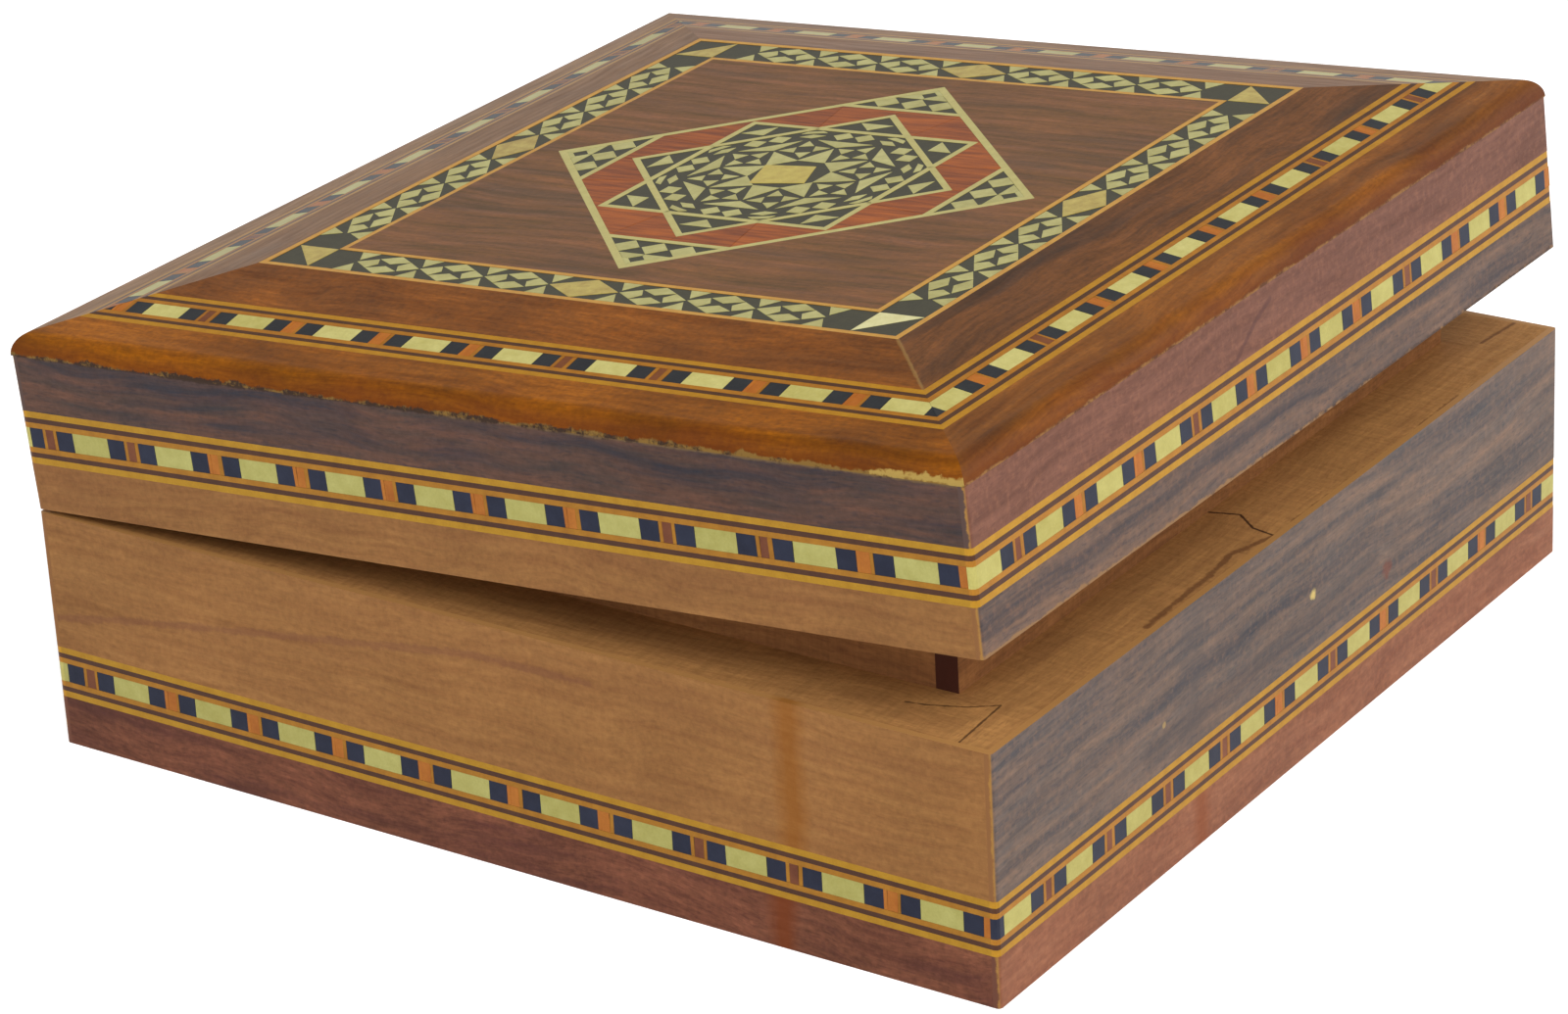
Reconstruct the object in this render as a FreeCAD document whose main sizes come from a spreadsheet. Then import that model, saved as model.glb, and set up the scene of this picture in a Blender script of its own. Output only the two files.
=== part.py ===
import FreeCAD, Part
import os
import re

# A square veneered puzzle box with a hinged lid that stands a little open.
# Millimetres and degrees. X runs along the front, Y to the back, Z up; the origin is the centre of
# the underside. The lid is drawn shut and then turned about the hinge line.
SIZES = {
    # carcass
    "box_width": 150.0,
    "box_depth": 150.0,
    "base_height": 34.4,
    "wall_thickness": 12.0,
    "veneer": 1.0,
    "lap_thickness": 6.0,
    "corner_round": 0.6,
    "panel_thickness": 4.0,
    "liner_thickness": 3.3,
    "lip_height": 7.0,
    # lid
    "lid_height": 28.9,
    "deck_height": 18.0,
    "bevel_inset": 24.1,
    "bevel_angle": 10.6,
    "edge_roll": 3.0,
    "rim_gap": 0.3,
    "lip_clearance": 0.6,
    "lid_open_angle": 4.5,
    # bandings and top inlay
    "banding_width": 7.5,
    "base_band_low": 7.1,
    "lid_band_low": 6.65,
    "bevel_band_inset": 6.9,
    "border_width": 8.5,
    "medallion_margin": 3.4,
    # hinges
    "hinge_spread": 45.0,
    "hinge_length": 22.0,
    "hinge_offset": 2.1,
    "leaf_depth": 9.0,
    "leaf_thickness": 0.9,
    "leaf_fit": 0.05,
    "barrel_radius": 1.8,
    "lid_knuckle": 8.4,
    "knuckle_gap": 0.3,
    "stop_length": 4.2,
    "pin_radius": 0.8,
    "pin_fit": 0.04,
    "pin_head": 0.3,
    "screw_spread": 7.0,
    "screw_head_radius": 1.9,
    "screw_radius": 1.0,
    "screw_length": 8.0,
    "screw_fit": 0.03,
    "slot_width": 0.5,
    "slot_depth": 0.4,
    # hidden lock
    "lock_inset": 7.0,
    "slide_clearance": 0.3,
    "slide_travel": 7.0,
    "dovetail_neck": 4.0,
    "dovetail_top": 6.0,
    "dovetail_height": 3.0,
    "arm_width": 8.0,
    "arm_thickness": 6.0,
    "nose_thickness": 4.0,
    "tenon_depth": 5.0,
    "tenon_width": 4.0,
    "tenon_thickness": 3.0,
    "lock_clearance": 0.5,
    "catch_back": 26.0,
    "catch_width": 10.0,
    "catch_thickness": 5.0,
    "catch_drop": 13.0,
    "catch_shank": 10.0,
    "catch_swing": 2.0,
    "notch_floor": 3.0,
    "notch_height": 5.0,
    "notch_depth": 5.0,
}

# Sizes that follow from the ones above
DERIVED = {
    "half_width": "box_width / 2",
    "half_depth": "box_depth / 2",
    "core_x": "box_width / 2 - veneer",
    "core_y": "box_depth / 2 - veneer",
    "inner_x": "box_width / 2 - wall_thickness",
    "inner_y": "box_depth / 2 - wall_thickness",
    "lap_y": "box_depth / 2 - veneer - lap_thickness",
    "base_band_top": "base_band_low + banding_width",
    "lip_top": "base_height + lip_height",
    "lid_rim": "base_height + rim_gap",
    "lid_inner_x": "box_width / 2 - wall_thickness + lip_clearance",
    "lid_inner_y": "box_depth / 2 - wall_thickness + lip_clearance",
    "lid_deck": "base_height + rim_gap + deck_height",
    "lid_top": "base_height + rim_gap + lid_height",
    "lid_band_bottom": "base_height + rim_gap + lid_band_low",
    "lid_band_top": "base_height + rim_gap + lid_band_low + banding_width",
    "bevel_foot": "base_height + rim_gap + lid_height - bevel_inset * tan(bevel_angle)",
    "roll_foot": "bevel_foot - edge_roll * tan(45 - bevel_angle / 2)",
    "core_roll": "edge_roll - veneer",
    "bevel_band_end": "bevel_band_inset + banding_width * cos(bevel_angle)",
    "flat_x": "box_width / 2 - bevel_inset",
    "flat_y": "box_depth / 2 - bevel_inset",
    "field_x": "box_width / 2 - bevel_inset - border_width",
    "field_y": "box_depth / 2 - bevel_inset - border_width",
    "medallion_reach": "min(field_x, field_y) - medallion_margin",
    "axis_y": "box_depth / 2 + hinge_offset",
    "axis_z": "base_height + rim_gap / 2",
    "leaf_front": "box_depth / 2 - leaf_depth",
    "screw_y": "box_depth / 2 - leaf_depth / 2",
    "lock_x": "box_width / 2 - lock_inset",
    "slide_top": "base_band_low - slide_clearance",
    "tongue_top": "base_band_low - slide_clearance + dovetail_height",
    "catch_tip": "base_height + rim_gap - catch_drop",
    "nose_bottom": "catch_tip + notch_floor + lock_clearance",
    "nose_top": "catch_tip + notch_floor + notch_height - lock_clearance",
    "arm_front": "slide_travel + lock_clearance - catch_back",
    "arm_back": "arm_front + arm_width",
    "nose_tip": "arm_front - notch_depth",
}

# Room that a cutting tool runs past the face that it opens
PAST = 1.0

ORIGIN = FreeCAD.Vector(0, 0, 0)
SIDES = ("front", "back", "left", "right")
TURN = {"front": 0, "left": -90, "back": 180, "right": 90}

doc = FreeCAD.newDocument("puzzle_box")
sheet = doc.addObject("Spreadsheet::Sheet", "Sizes")
row_number = 0
for alias, value in SIZES.items():
    row_number += 1
    sheet.set(f"A{row_number}", alias)
    sheet.set(f"B{row_number}", str(value))
    sheet.setAlias(f"B{row_number}", alias)
for alias, formula in DERIVED.items():
    row_number += 1
    sheet.set(f"A{row_number}", alias)
    sheet.set(f"B{row_number}", "=" + formula)
    sheet.setAlias(f"B{row_number}", alias)
doc.recompute()

NAMES = set(SIZES) | set(DERIVED)
nodes = []


def qualify(text):
    """Put the sheet's name in front of every size named in an expression."""
    def named(word):
        return f"Sizes.{word[0]}" if word[0] in NAMES else word[0]

    return re.sub(r"[a-z][a-z_]+", named, text)


def bind(thing, prop, text):
    """Tie one property of a document object to an expression of sizes."""
    thing.setExpression(prop, qualify(text))


def place(thing, x, y, z):
    """Tie the position of a document object to expressions."""
    for axis, text in (("x", x), ("y", y), ("z", z)):
        bind(thing, f"Placement.Base.{axis}", text)


def box(name, x, y, z):
    """A block between a low and a high expression on each axis."""
    block = doc.addObject("Part::Box", name)
    for prop, (low, high) in (("Length", x), ("Width", y), ("Height", z)):
        bind(block, prop, f"({high}) - ({low})")
    place(block, x[0], y[0], z[0])
    return block


def prism(name, y, near_x, far_x, near_z, far_z, turn):
    """A wedge between two levels of its own Y axis, turned as a whole about the origin."""
    wedge = doc.addObject("Part::Wedge", name)
    limits = (("Y", y), ("X", near_x), ("X2", far_x), ("Z", near_z), ("Z2", far_z))
    for prop, (low, high) in limits:
        bind(wedge, prop + "min", low)
        bind(wedge, prop + "max", high)
    wedge.Placement = FreeCAD.Placement(ORIGIN, turn)
    return wedge


def rod(name, radius, x, y, z):
    """A round bar along X between two expressions."""
    bar = doc.addObject("Part::Cylinder", name)
    bar.Placement = FreeCAD.Placement(ORIGIN, FreeCAD.Rotation(FreeCAD.Vector(0, 1, 0), 90))
    bind(bar, "Radius", radius)
    bind(bar, "Height", f"({x[1]}) - ({x[0]})")
    place(bar, x[0], y, z)
    return bar


def fuse(name, pieces):
    """Several shapes joined as one."""
    joined = doc.addObject("Part::MultiFuse", name)
    joined.Shapes = pieces
    return joined


def cut(name, body, tools):
    """A shape with other shapes taken out of it."""
    result = doc.addObject("Part::Cut", name)
    result.Base = body
    result.Tool = tools[0] if len(tools) == 1 else fuse(name + "_tools", tools)
    return result


def common(name, first, second):
    """What two shapes share."""
    result = doc.addObject("Part::Common", name)
    result.Base = first
    result.Tool = second
    return result


def group(name, pieces):
    """Separate solids kept in one object."""
    result = doc.addObject("Part::Compound", name)
    result.Links = pieces
    return result


def rounded(name, body, radius, wanted):
    """A shape with the edges that pass a test rounded over."""
    doc.recompute()
    size = sheet.get(radius)
    result = doc.addObject("Part::Fillet", name)
    result.Base = body
    edges = enumerate(body.Shape.Edges, start=1)
    result.Edges = [(number, size, size) for number, edge in edges if wanted(edge)]
    return result


def keep(name, thing, placement=None):
    """Record a finished piece, in its own place, under the name of its file."""
    piece = group(name + "_piece", [thing])
    if placement is not None:
        piece.Placement = placement
    piece.Label = name
    nodes.append(piece)


def upright_corners(face_y):
    """A test for the upright edges at the outer ends of a front or back strip."""
    half_width = sheet.get("half_width")

    def wanted(edge):
        middle = edge.BoundBox.Center
        upright = edge.BoundBox.ZLength > edge.BoundBox.XLength + edge.BoundBox.YLength
        return upright and abs(abs(middle.x) - half_width) < 0.01 and abs(middle.y - face_y) < 0.01

    return wanted


def side_strip(name, side, low, high, end_x="half_width"):
    """One veneer strip on a wall; front and back strips cover the ends of the side strips."""
    if side in ("left", "right"):
        x = ("-half_width", "-core_x") if side == "left" else ("core_x", "half_width")
        return box(name, x, ("-core_y", "core_y"), (low, high))
    y = ("-half_depth", "-core_y") if side == "front" else ("core_y", "half_depth")
    blank = box(name + "_blank", ("-half_width", end_x), y, (low, high))
    face_y = sheet.get("half_depth") * (-1 if side == "front" else 1)
    return rounded(name, blank, "corner_round", upright_corners(face_y))


def cross_wall(name, side, inner_x, inner_y, low, high):
    """A front or back wall, rabbeted at both ends to lap over the side walls."""
    sign = "-" if side == "front" else ""
    limits = (f"{sign}core_y", f"{sign}{inner_y}")
    y = limits if side == "front" else limits[::-1]
    blank = box(name + "_blank", ("-core_x", "core_x"), y, (low, high))
    inside = (f"{sign}lap_y", f"{sign}({inner_y} - {PAST})")
    rebate_y = inside if side == "front" else inside[::-1]
    rebate_z = (f"{low} - {PAST}", f"{high} + {PAST}")
    rebates = [
        box(name + "_rebate_left", (f"-core_x - {PAST}", f"-{inner_x}"), rebate_y, rebate_z),
        box(name + "_rebate_right", (inner_x, f"core_x + {PAST}"), rebate_y, rebate_z),
    ]
    return cut(name + "_lapped", blank, rebates)


# Hinge pieces, placed at the left and the right hinge
HINGES = (("left", "-hinge_spread"), ("right", "hinge_spread"))
SCREWS = (("a", "-screw_spread"), ("b", "screw_spread"))


def leaf_seats(name, low, high):
    """The shallow recesses that let the hinge leaves into a rim."""
    reach = "hinge_length / 2 + leaf_fit"
    y = ("leaf_front - leaf_fit", f"half_depth + {PAST}")
    return [
        box(f"{name}_seat_{side}", (f"{at} - ({reach})", f"{at} + {reach}"), y, (low, high))
        for side, at in HINGES
    ]


def screw_holes(name, low, length):
    """Upright pilot holes for all four screws of one set of leaves."""
    holes = []
    for side, at in HINGES:
        for letter, offset in SCREWS:
            hole = doc.addObject("Part::Cylinder", f"{name}_hole_{side}_{letter}")
            bind(hole, "Radius", "screw_radius + screw_fit")
            bind(hole, "Height", length)
            place(hole, f"{at} + {offset}", "screw_y", low)
            holes.append(hole)
    return holes


def cone(name, low_radius, high_radius, height, x, z):
    """An upright cone on the screw line."""
    taper = doc.addObject("Part::Cone", name)
    bind(taper, "Radius1", low_radius)
    bind(taper, "Radius2", high_radius)
    bind(taper, "Height", height)
    place(taper, x, "screw_y", z)
    return taper


def screw(name, x, head_z, upward):
    """A slotted countersunk screw with its head flush at a level."""
    shank = doc.addObject("Part::Cylinder", name + "_shank")
    bind(shank, "Radius", "screw_radius")
    bind(shank, "Height", "screw_length")
    place(shank, x, "screw_y", head_z if upward else f"{head_z} - screw_length")
    wide, narrow = "screw_head_radius", "screw_radius"
    if upward:
        head = cone(name + "_head", wide, narrow, "leaf_thickness", x, head_z)
        slot_z = (f"{head_z} - {PAST}", f"{head_z} + slot_depth")
    else:
        head = cone(name + "_head", narrow, wide, "leaf_thickness", x, f"{head_z} - leaf_thickness")
        slot_z = (f"{head_z} - slot_depth", f"{head_z} + {PAST}")
    slot_x = (f"{x} - screw_head_radius - {PAST}", f"{x} + screw_head_radius + {PAST}")
    slot = box(name + "_slot", slot_x, ("screw_y - slot_width / 2", "screw_y + slot_width / 2"), slot_z)
    return cut(name, fuse(name + "_solid", [shank, head]), [slot])


def sinks(name, at, low, upward):
    """The countersunk holes of one leaf."""
    wide = "screw_head_radius + screw_fit"
    narrow = "screw_radius + screw_fit"
    radii = (wide, narrow) if upward else (narrow, wide)
    return [
        cone(f"{name}_sink_{letter}", radii[0], radii[1], "leaf_thickness", f"{at} + {offset}", low)
        for letter, offset in SCREWS
    ]


def pin_bore(name, at):
    """The hole for the hinge pin through one leaf's knuckles."""
    reach = f"hinge_length / 2 + {PAST}"
    span = (f"{at} - ({reach})", f"{at} + {reach}")
    return rod(name + "_bore", "pin_radius + pin_fit", span, "axis_y", "axis_z")


def base_leaf(side, at):
    """A base leaf: a plate let into the rim with a knuckle at each end."""
    name = f"base_leaf_{side}"
    plate_z = ("base_height - leaf_thickness", "base_height")
    ends = (f"{at} - hinge_length / 2", f"{at} + hinge_length / 2")
    inner = (f"{at} - (lid_knuckle / 2 + knuckle_gap)", f"{at} + lid_knuckle / 2 + knuckle_gap")
    pieces = [box(name + "_plate", ends, ("leaf_front", "half_depth"), plate_z)]
    for letter, span in (("a", (ends[0], inner[0])), ("b", (inner[1], ends[1]))):
        pieces.append(box(f"{name}_tab_{letter}", span, ("half_depth", "axis_y"), plate_z))
        pieces.append(rod(f"{name}_knuckle_{letter}", "barrel_radius", span, "axis_y", "axis_z"))
    tools = [pin_bore(name, at)] + sinks(name, at, plate_z[0], False)
    return cut(name, fuse(name + "_solid", pieces), tools)


def lid_leaf(side, at):
    """A lid leaf: a plate, one middle knuckle and a tail that stops the lid when it is open."""
    name = f"lid_leaf_{side}"
    plate_z = ("lid_rim", "lid_rim + leaf_thickness")
    ends = (f"{at} - hinge_length / 2", f"{at} + hinge_length / 2")
    middle = (f"{at} - lid_knuckle / 2", f"{at} + lid_knuckle / 2")
    tail_z = ("axis_z - leaf_thickness / 2", "axis_z + leaf_thickness / 2")
    pieces = [
        box(name + "_plate", ends, ("leaf_front", "half_depth"), plate_z),
        box(name + "_tab", middle, ("half_depth", "axis_y"), plate_z),
        rod(name + "_knuckle", "barrel_radius", middle, "axis_y", "axis_z"),
        box(name + "_tail", middle, ("axis_y", "axis_y + stop_length"), tail_z),
    ]
    tools = [pin_bore(name, at)] + sinks(name, at, plate_z[0], True)
    return cut(name, fuse(name + "_solid", pieces), tools)


# Base walls: front and back lap over the sides, and the right wall stands on the hidden slide
keep("base_front_wall", cross_wall("base_front", "front", "inner_x", "inner_y", "0", "base_height"))

slot_x = ("inner_x", f"core_x + {PAST}")
slot_y = ("lap_y", f"core_y + {PAST}")
back_slot = box("back_slot", slot_x, slot_y, (f"-{PAST}", "base_band_low"))
back_tools = leaf_seats("base_back", "base_height - leaf_thickness", f"base_height + {PAST}")
back_tools += screw_holes("base_back", "base_height - screw_length", "screw_length")
back_lapped = cross_wall("base_back", "back", "inner_x", "inner_y", "0", "base_height")
keep("base_back_wall", cut("base_back", back_lapped, back_tools + [back_slot]))

side_y = ("-lap_y", "lap_y")
keep("base_left_wall", box("base_left", ("-core_x", "-inner_x"), side_y, ("0", "base_height")))


def dovetail(name, room, y, low, high):
    """A dovetail bar along Y, wider at the top, with some room added all round."""
    spans = []
    for width in ("dovetail_neck", "dovetail_top"):
        spans.append((f"lock_x - {width} / 2 - {room}", f"lock_x + {width} / 2 + {room}"))
    upright = FreeCAD.Rotation(FreeCAD.Vector(1, 0, 0), 90)
    depth = (f"-({y[1]})", f"-({y[0]})")
    return prism(name, (low, high), spans[0], spans[1], depth, depth, upright)


catch_front = "-catch_back - catch_width"
right_blank = box("base_right_blank", ("inner_x", "core_x"), side_y, ("base_band_low", "base_height"))
groove_y = (f"-lap_y - {PAST}", f"lap_y + {PAST}")
groove = dovetail("slide_groove", "slide_clearance", groove_y, "slide_top", "tongue_top + slide_clearance")
pocket = box(
    "lock_pocket",
    (f"inner_x - {PAST}", "lock_x + arm_thickness / 2 + lock_clearance"),
    (f"{catch_front} - catch_swing", "arm_back + lock_clearance"),
    ("slide_top", "nose_top + lock_clearance"),
)
catch_mortise = box(
    "catch_mortise",
    ("lock_x - catch_thickness / 2 - lock_clearance", "lock_x + catch_thickness / 2 + lock_clearance"),
    (f"{catch_front} - catch_swing", "-catch_back + lock_clearance"),
    ("nose_bottom", f"base_height + {PAST}"),
)
keep("base_right_wall", cut("base_right", right_blank, [groove, pocket, catch_mortise]))
panel_x = ("-inner_x", "inner_x")
panel_y = ("-inner_y", "inner_y")
keep("base_bottom_panel", box("base_bottom", panel_x, panel_y, ("0", "panel_thickness")))

# Inner liner: the front and back boards run full width and the side boards butt between them
liner_z = ("panel_thickness", "lip_top")
liner_in_x = "inner_x - liner_thickness"
liner_in_y = "inner_y - liner_thickness"
keep("liner_front", box("front_liner", panel_x, ("-inner_y", f"-({liner_in_y})"), liner_z))
keep("liner_back", box("back_liner", panel_x, (liner_in_y, "inner_y"), liner_z))
liner_y = (f"-({liner_in_y})", liner_in_y)
keep("liner_left", box("left_liner", ("-inner_x", f"-({liner_in_x})"), liner_y, liner_z))
keep("liner_right", box("right_liner", (liner_in_x, "inner_x"), liner_y, liner_z))

# Base veneers and bandings
for side in SIDES:
    upper = side_strip(f"base_{side}_upper", side, "base_band_top", "base_height")
    if side == "back":
        seats = leaf_seats("back_upper", "base_height - leaf_thickness", f"base_height + {PAST}")
        upper = cut("base_back_upper_cut", upper, seats)
    keep(f"base_{side}_upper_veneer", upper)
    keep(f"base_{side}_banding", side_strip(f"base_{side}_band", side, "base_band_low", "base_band_top"))
    if side == "right":
        skin_x = ("core_x", "half_width")
        lower = box("base_right_lower", skin_x, ("-core_y", "-lap_y"), ("0", "base_band_low"))
    else:
        end_x = "inner_x" if side == "back" else "half_width"
        lower = side_strip(f"base_{side}_lower", side, "0", "base_band_low", end_x)
    keep(f"base_{side}_lower_veneer", lower)

# Hidden lock: the slide under the right wall, drawn back to unlock, with the bolt tenoned into it
slide_y = ("slide_travel + slide_clearance - lap_y", "slide_travel + half_depth")
slide_z = ("slide_clearance", "slide_top")
slide_bar = box("slide_bar", ("inner_x + slide_clearance", "core_x"), slide_y, slide_z)
tongue_y = (slide_y[0], "lap_y - slide_clearance")
tongue = dovetail("slide_tongue", "0", tongue_y, "slide_top", "tongue_top")
arm_middle = "(arm_front + arm_back) / 2"
tenon_limits = (
    ("lock_x - tenon_thickness / 2", "lock_x + tenon_thickness / 2"),
    (f"{arm_middle} - tenon_width / 2", f"{arm_middle} + tenon_width / 2"),
)
tenon_mortise = box("tenon_mortise", *tenon_limits, ("tongue_top - tenon_depth", f"tongue_top + {PAST}"))
keep("secret_slide", cut("slide", fuse("slide_solid", [slide_bar, tongue]), [tenon_mortise]))
keep("slide_veneer", box("slide_face", ("core_x", "half_width"), slide_y, slide_z))
arm_x = ("lock_x - arm_thickness / 2", "lock_x + arm_thickness / 2")
nose_x = ("lock_x - nose_thickness / 2", "lock_x + nose_thickness / 2")
bolt_pieces = [
    box("bolt_arm", arm_x, ("arm_front", "arm_back"), ("tongue_top", "nose_top")),
    box("bolt_nose", nose_x, ("nose_tip", "arm_front"), ("nose_bottom", "nose_top")),
    box("bolt_tenon", *tenon_limits, ("tongue_top - tenon_depth", "tongue_top")),
]
keep("lock_bolt", fuse("bolt", bolt_pieces))

# Lid, drawn shut and turned open about the hinge line
opened = FreeCAD.Placement(
    ORIGIN,
    FreeCAD.Rotation(FreeCAD.Vector(1, 0, 0), -sheet.get("lid_open_angle")),
    FreeCAD.Vector(0, sheet.get("axis_y"), sheet.get("axis_z")),
)
lid_front = cross_wall("lid_front", "front", "lid_inner_x", "lid_inner_y", "lid_rim", "lid_deck")
keep("lid_front_wall", lid_front, opened)
lid_back_tools = leaf_seats("lid_back", f"lid_rim - {PAST}", "lid_rim + leaf_thickness")
lid_back_tools += screw_holes("lid_back", "lid_rim", "screw_length")
lid_back_lapped = cross_wall("lid_back", "back", "lid_inner_x", "lid_inner_y", "lid_rim", "lid_deck")
keep("lid_back_wall", cut("lid_back", lid_back_lapped, lid_back_tools), opened)
keep("lid_left_wall", box("lid_left", ("-core_x", "-lid_inner_x"), side_y, ("lid_rim", "lid_deck")), opened)

catch_limits = (
    ("lock_x - catch_thickness / 2", "lock_x + catch_thickness / 2"),
    (catch_front, "-catch_back"),
)
lid_right_blank = box("lid_right_blank", ("lid_inner_x", "core_x"), side_y, ("lid_rim", "lid_deck"))
shank_mortise = box("shank_mortise", *catch_limits, (f"lid_rim - {PAST}", "lid_rim + catch_shank"))
keep("lid_right_wall", cut("lid_right", lid_right_blank, [shank_mortise]), opened)
catch_blank = box("catch_blank", *catch_limits, ("catch_tip", "lid_rim + catch_shank"))
catch_notch = box(
    "catch_notch",
    (f"lock_x - catch_thickness / 2 - {PAST}", f"lock_x + catch_thickness / 2 + {PAST}"),
    ("-catch_back - notch_depth", f"-catch_back + {PAST}"),
    ("catch_tip + notch_floor", "catch_tip + notch_floor + notch_height"),
)
keep("lid_catch", cut("catch", catch_blank, [catch_notch]), opened)


def crown(name, offset, radius):
    """The lid's bevelled top with its rolled edge, drawn in by an offset on every face."""
    reach = (f"half_width - {offset}", f"half_depth - {offset}")
    flat = (f"flat_x - {offset} * tan(bevel_angle / 2)", f"flat_y - {offset} * tan(bevel_angle / 2)")
    foot = f"bevel_foot - {offset} * tan(45 - bevel_angle / 2)"
    spans = [(f"-({half})", half) for half in reach + flat]
    block = box(name + "_block", spans[0], spans[1], ("lid_deck", foot))
    upright = FreeCAD.Rotation(FreeCAD.Vector(1, 0, 0), 90)
    levels = (foot, f"lid_top - {offset}")
    hip = prism(name + "_hip", levels, spans[0], spans[2], spans[1], spans[3], upright)
    solid = fuse(name + "_solid", [block, hip])
    doc.recompute()
    level = block.Placement.Base.z + block.Height.Value

    def wanted(edge):
        return edge.BoundBox.ZLength < 0.001 and abs(edge.BoundBox.Center.z - level) < 0.001

    return rounded(name, solid, radius, wanted)


board = crown("lid_board", "veneer", "core_roll")
skin = cut("crown_skin", crown("lid_crown", "0", "edge_roll"), [board])
keep("lid_top_board", board, opened)


def bevel_strip(side, label, outer, inner):
    """One strip of the bevel's skin between two insets, mitred at the corners."""
    along, across = ("half_width", "half_depth")
    if side in ("left", "right"):
        along, across = across, along
    turn = FreeCAD.Rotation(FreeCAD.Vector(0, 0, 1), TURN[side])
    near_x = (f"-({along} - ({outer}))", f"{along} - ({outer})")
    far_x = (f"-({along} - {inner})", f"{along} - {inner}")
    levels = ("roll_foot", f"lid_top + {PAST}")
    name = f"bevel_{side}_{label}"
    y = (f"-({across} - ({outer}))", f"-({across} - {inner})")
    wedge = prism(name + "_wedge", y, near_x, far_x, levels, levels, turn)
    return common(name, skin, wedge)


bevel_bands = []
for side in SIDES:
    outer_strip = bevel_strip(side, "outer", f"-{PAST}", "bevel_band_inset")
    inner_strip = bevel_strip(side, "inner", "bevel_band_end", "bevel_inset")
    keep(f"bevel_{side}_outer_veneer", outer_strip, opened)
    keep(f"bevel_{side}_inner_veneer", inner_strip, opened)
    bevel_bands.append(bevel_strip(side, "band", "bevel_band_inset", "bevel_band_end"))
keep("bevel_bandings", group("bevel_bands", bevel_bands), opened)

# Lid wall veneers and bandings
for side in SIDES:
    upper = side_strip(f"lid_{side}_upper", side, "lid_band_top", "roll_foot")
    keep(f"lid_{side}_upper_veneer", upper, opened)
    banding = side_strip(f"lid_{side}_band", side, "lid_band_bottom", "lid_band_top")
    keep(f"lid_{side}_banding", banding, opened)
    lower = side_strip(f"lid_{side}_lower", side, "lid_rim", "lid_band_bottom")
    if side == "back":
        seats = leaf_seats("back_lower", f"lid_rim - {PAST}", "lid_rim + leaf_thickness")
        lower = cut("lid_back_lower_cut", lower, seats)
    keep(f"lid_{side}_lower_veneer", lower, opened)

# Flat top: mosaic border of strips and corner squares, the field, and the star medallion in it
top_z = ("lid_top - veneer", "lid_top")
diamond_side = "medallion_reach * sqrt(2)"


def diamond(name, low, high):
    """A square plate standing on its corner, seen from above."""
    plate = doc.addObject("Part::Box", name)
    plate.Placement = FreeCAD.Placement(ORIGIN, FreeCAD.Rotation(FreeCAD.Vector(0, 0, 1), 45))
    bind(plate, "Length", diamond_side)
    bind(plate, "Width", diamond_side)
    bind(plate, "Height", f"({high}) - ({low})")
    place(plate, "0", "-medallion_reach", low)
    return plate


field_blank = box("field_blank", ("-field_x", "field_x"), ("-field_y", "field_y"), top_z)
field_hole = diamond("field_hole", f"lid_top - veneer - {PAST}", f"lid_top + {PAST}")
keep("top_field_veneer", cut("top_field", field_blank, [field_hole]), opened)
keep("star_medallion", diamond("medallion", *top_z), opened)

BORDER_X = {"low": ("-flat_x", "-field_x"), "mid": ("-field_x", "field_x"), "high": ("field_x", "flat_x")}
BORDER_Y = {"low": ("-flat_y", "-field_y"), "mid": ("-field_y", "field_y"), "high": ("field_y", "flat_y")}
border_pieces = []
for column, x in BORDER_X.items():
    for line, y in BORDER_Y.items():
        if (column, line) != ("mid", "mid"):
            border_pieces.append(box(f"border_{column}_{line}", x, y, top_z))
keep("mosaic_border", group("border", border_pieces), opened)

# Hinges
keep("hinge_base_leaves", group("base_leaves", [base_leaf(side, at) for side, at in HINGES]))
keep("hinge_lid_leaves", group("lid_leaves", [lid_leaf(side, at) for side, at in HINGES]), opened)
pin_reach = "hinge_length / 2 + pin_head"
pins = [
    rod(f"pin_{side}", "pin_radius", (f"{at} - ({pin_reach})", f"{at} + {pin_reach}"), "axis_y", "axis_z")
    for side, at in HINGES
]
keep("hinge_pins", group("pins", pins))
base_screws = []
lid_screws = []
for side, at in HINGES:
    for letter, offset in SCREWS:
        base_screws.append(screw(f"base_screw_{side}_{letter}", f"{at} + {offset}", "base_height", False))
        lid_screws.append(screw(f"lid_screw_{side}_{letter}", f"{at} + {offset}", "lid_rim", True))
keep("hinge_base_screws", group("base_screws", base_screws))
keep("hinge_lid_screws", group("lid_screws", lid_screws), opened)

# Checks before writing
doc.recompute()
for thing in doc.Objects:
    if "Invalid" in thing.State or "Error" in thing.State:
        raise RuntimeError(f"{thing.Name} did not recompute: {thing.State}")
for piece in nodes:
    if piece.Shape.isNull() or not piece.Shape.isValid() or not piece.Shape.Solids:
        raise RuntimeError(f"{piece.Label} has no valid shape")

os.makedirs("parts", exist_ok=True)
for piece in nodes:
    piece.Shape.exportStep(f"parts/{piece.Label}.step")
    box_size = piece.Shape.BoundBox
    print(
        f"{piece.Label}: {len(piece.Shape.Solids)} solids, {piece.Shape.Volume:.2f} mm3,"
        f" {box_size.XLength:.2f} x {box_size.YLength:.2f} x {box_size.ZLength:.2f}"
    )
print(len(nodes), "nodes")
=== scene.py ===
"""Looks of a veneered wooden puzzle box with inlaid bandings and a mosaic star on its lid."""

import logging
import math
import random
from abc import ABC, abstractmethod
from collections.abc import Callable, Iterable
from dataclasses import dataclass
from enum import Enum, IntEnum

import bmesh
import bpy
from mathutils import Matrix, Vector

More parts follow.
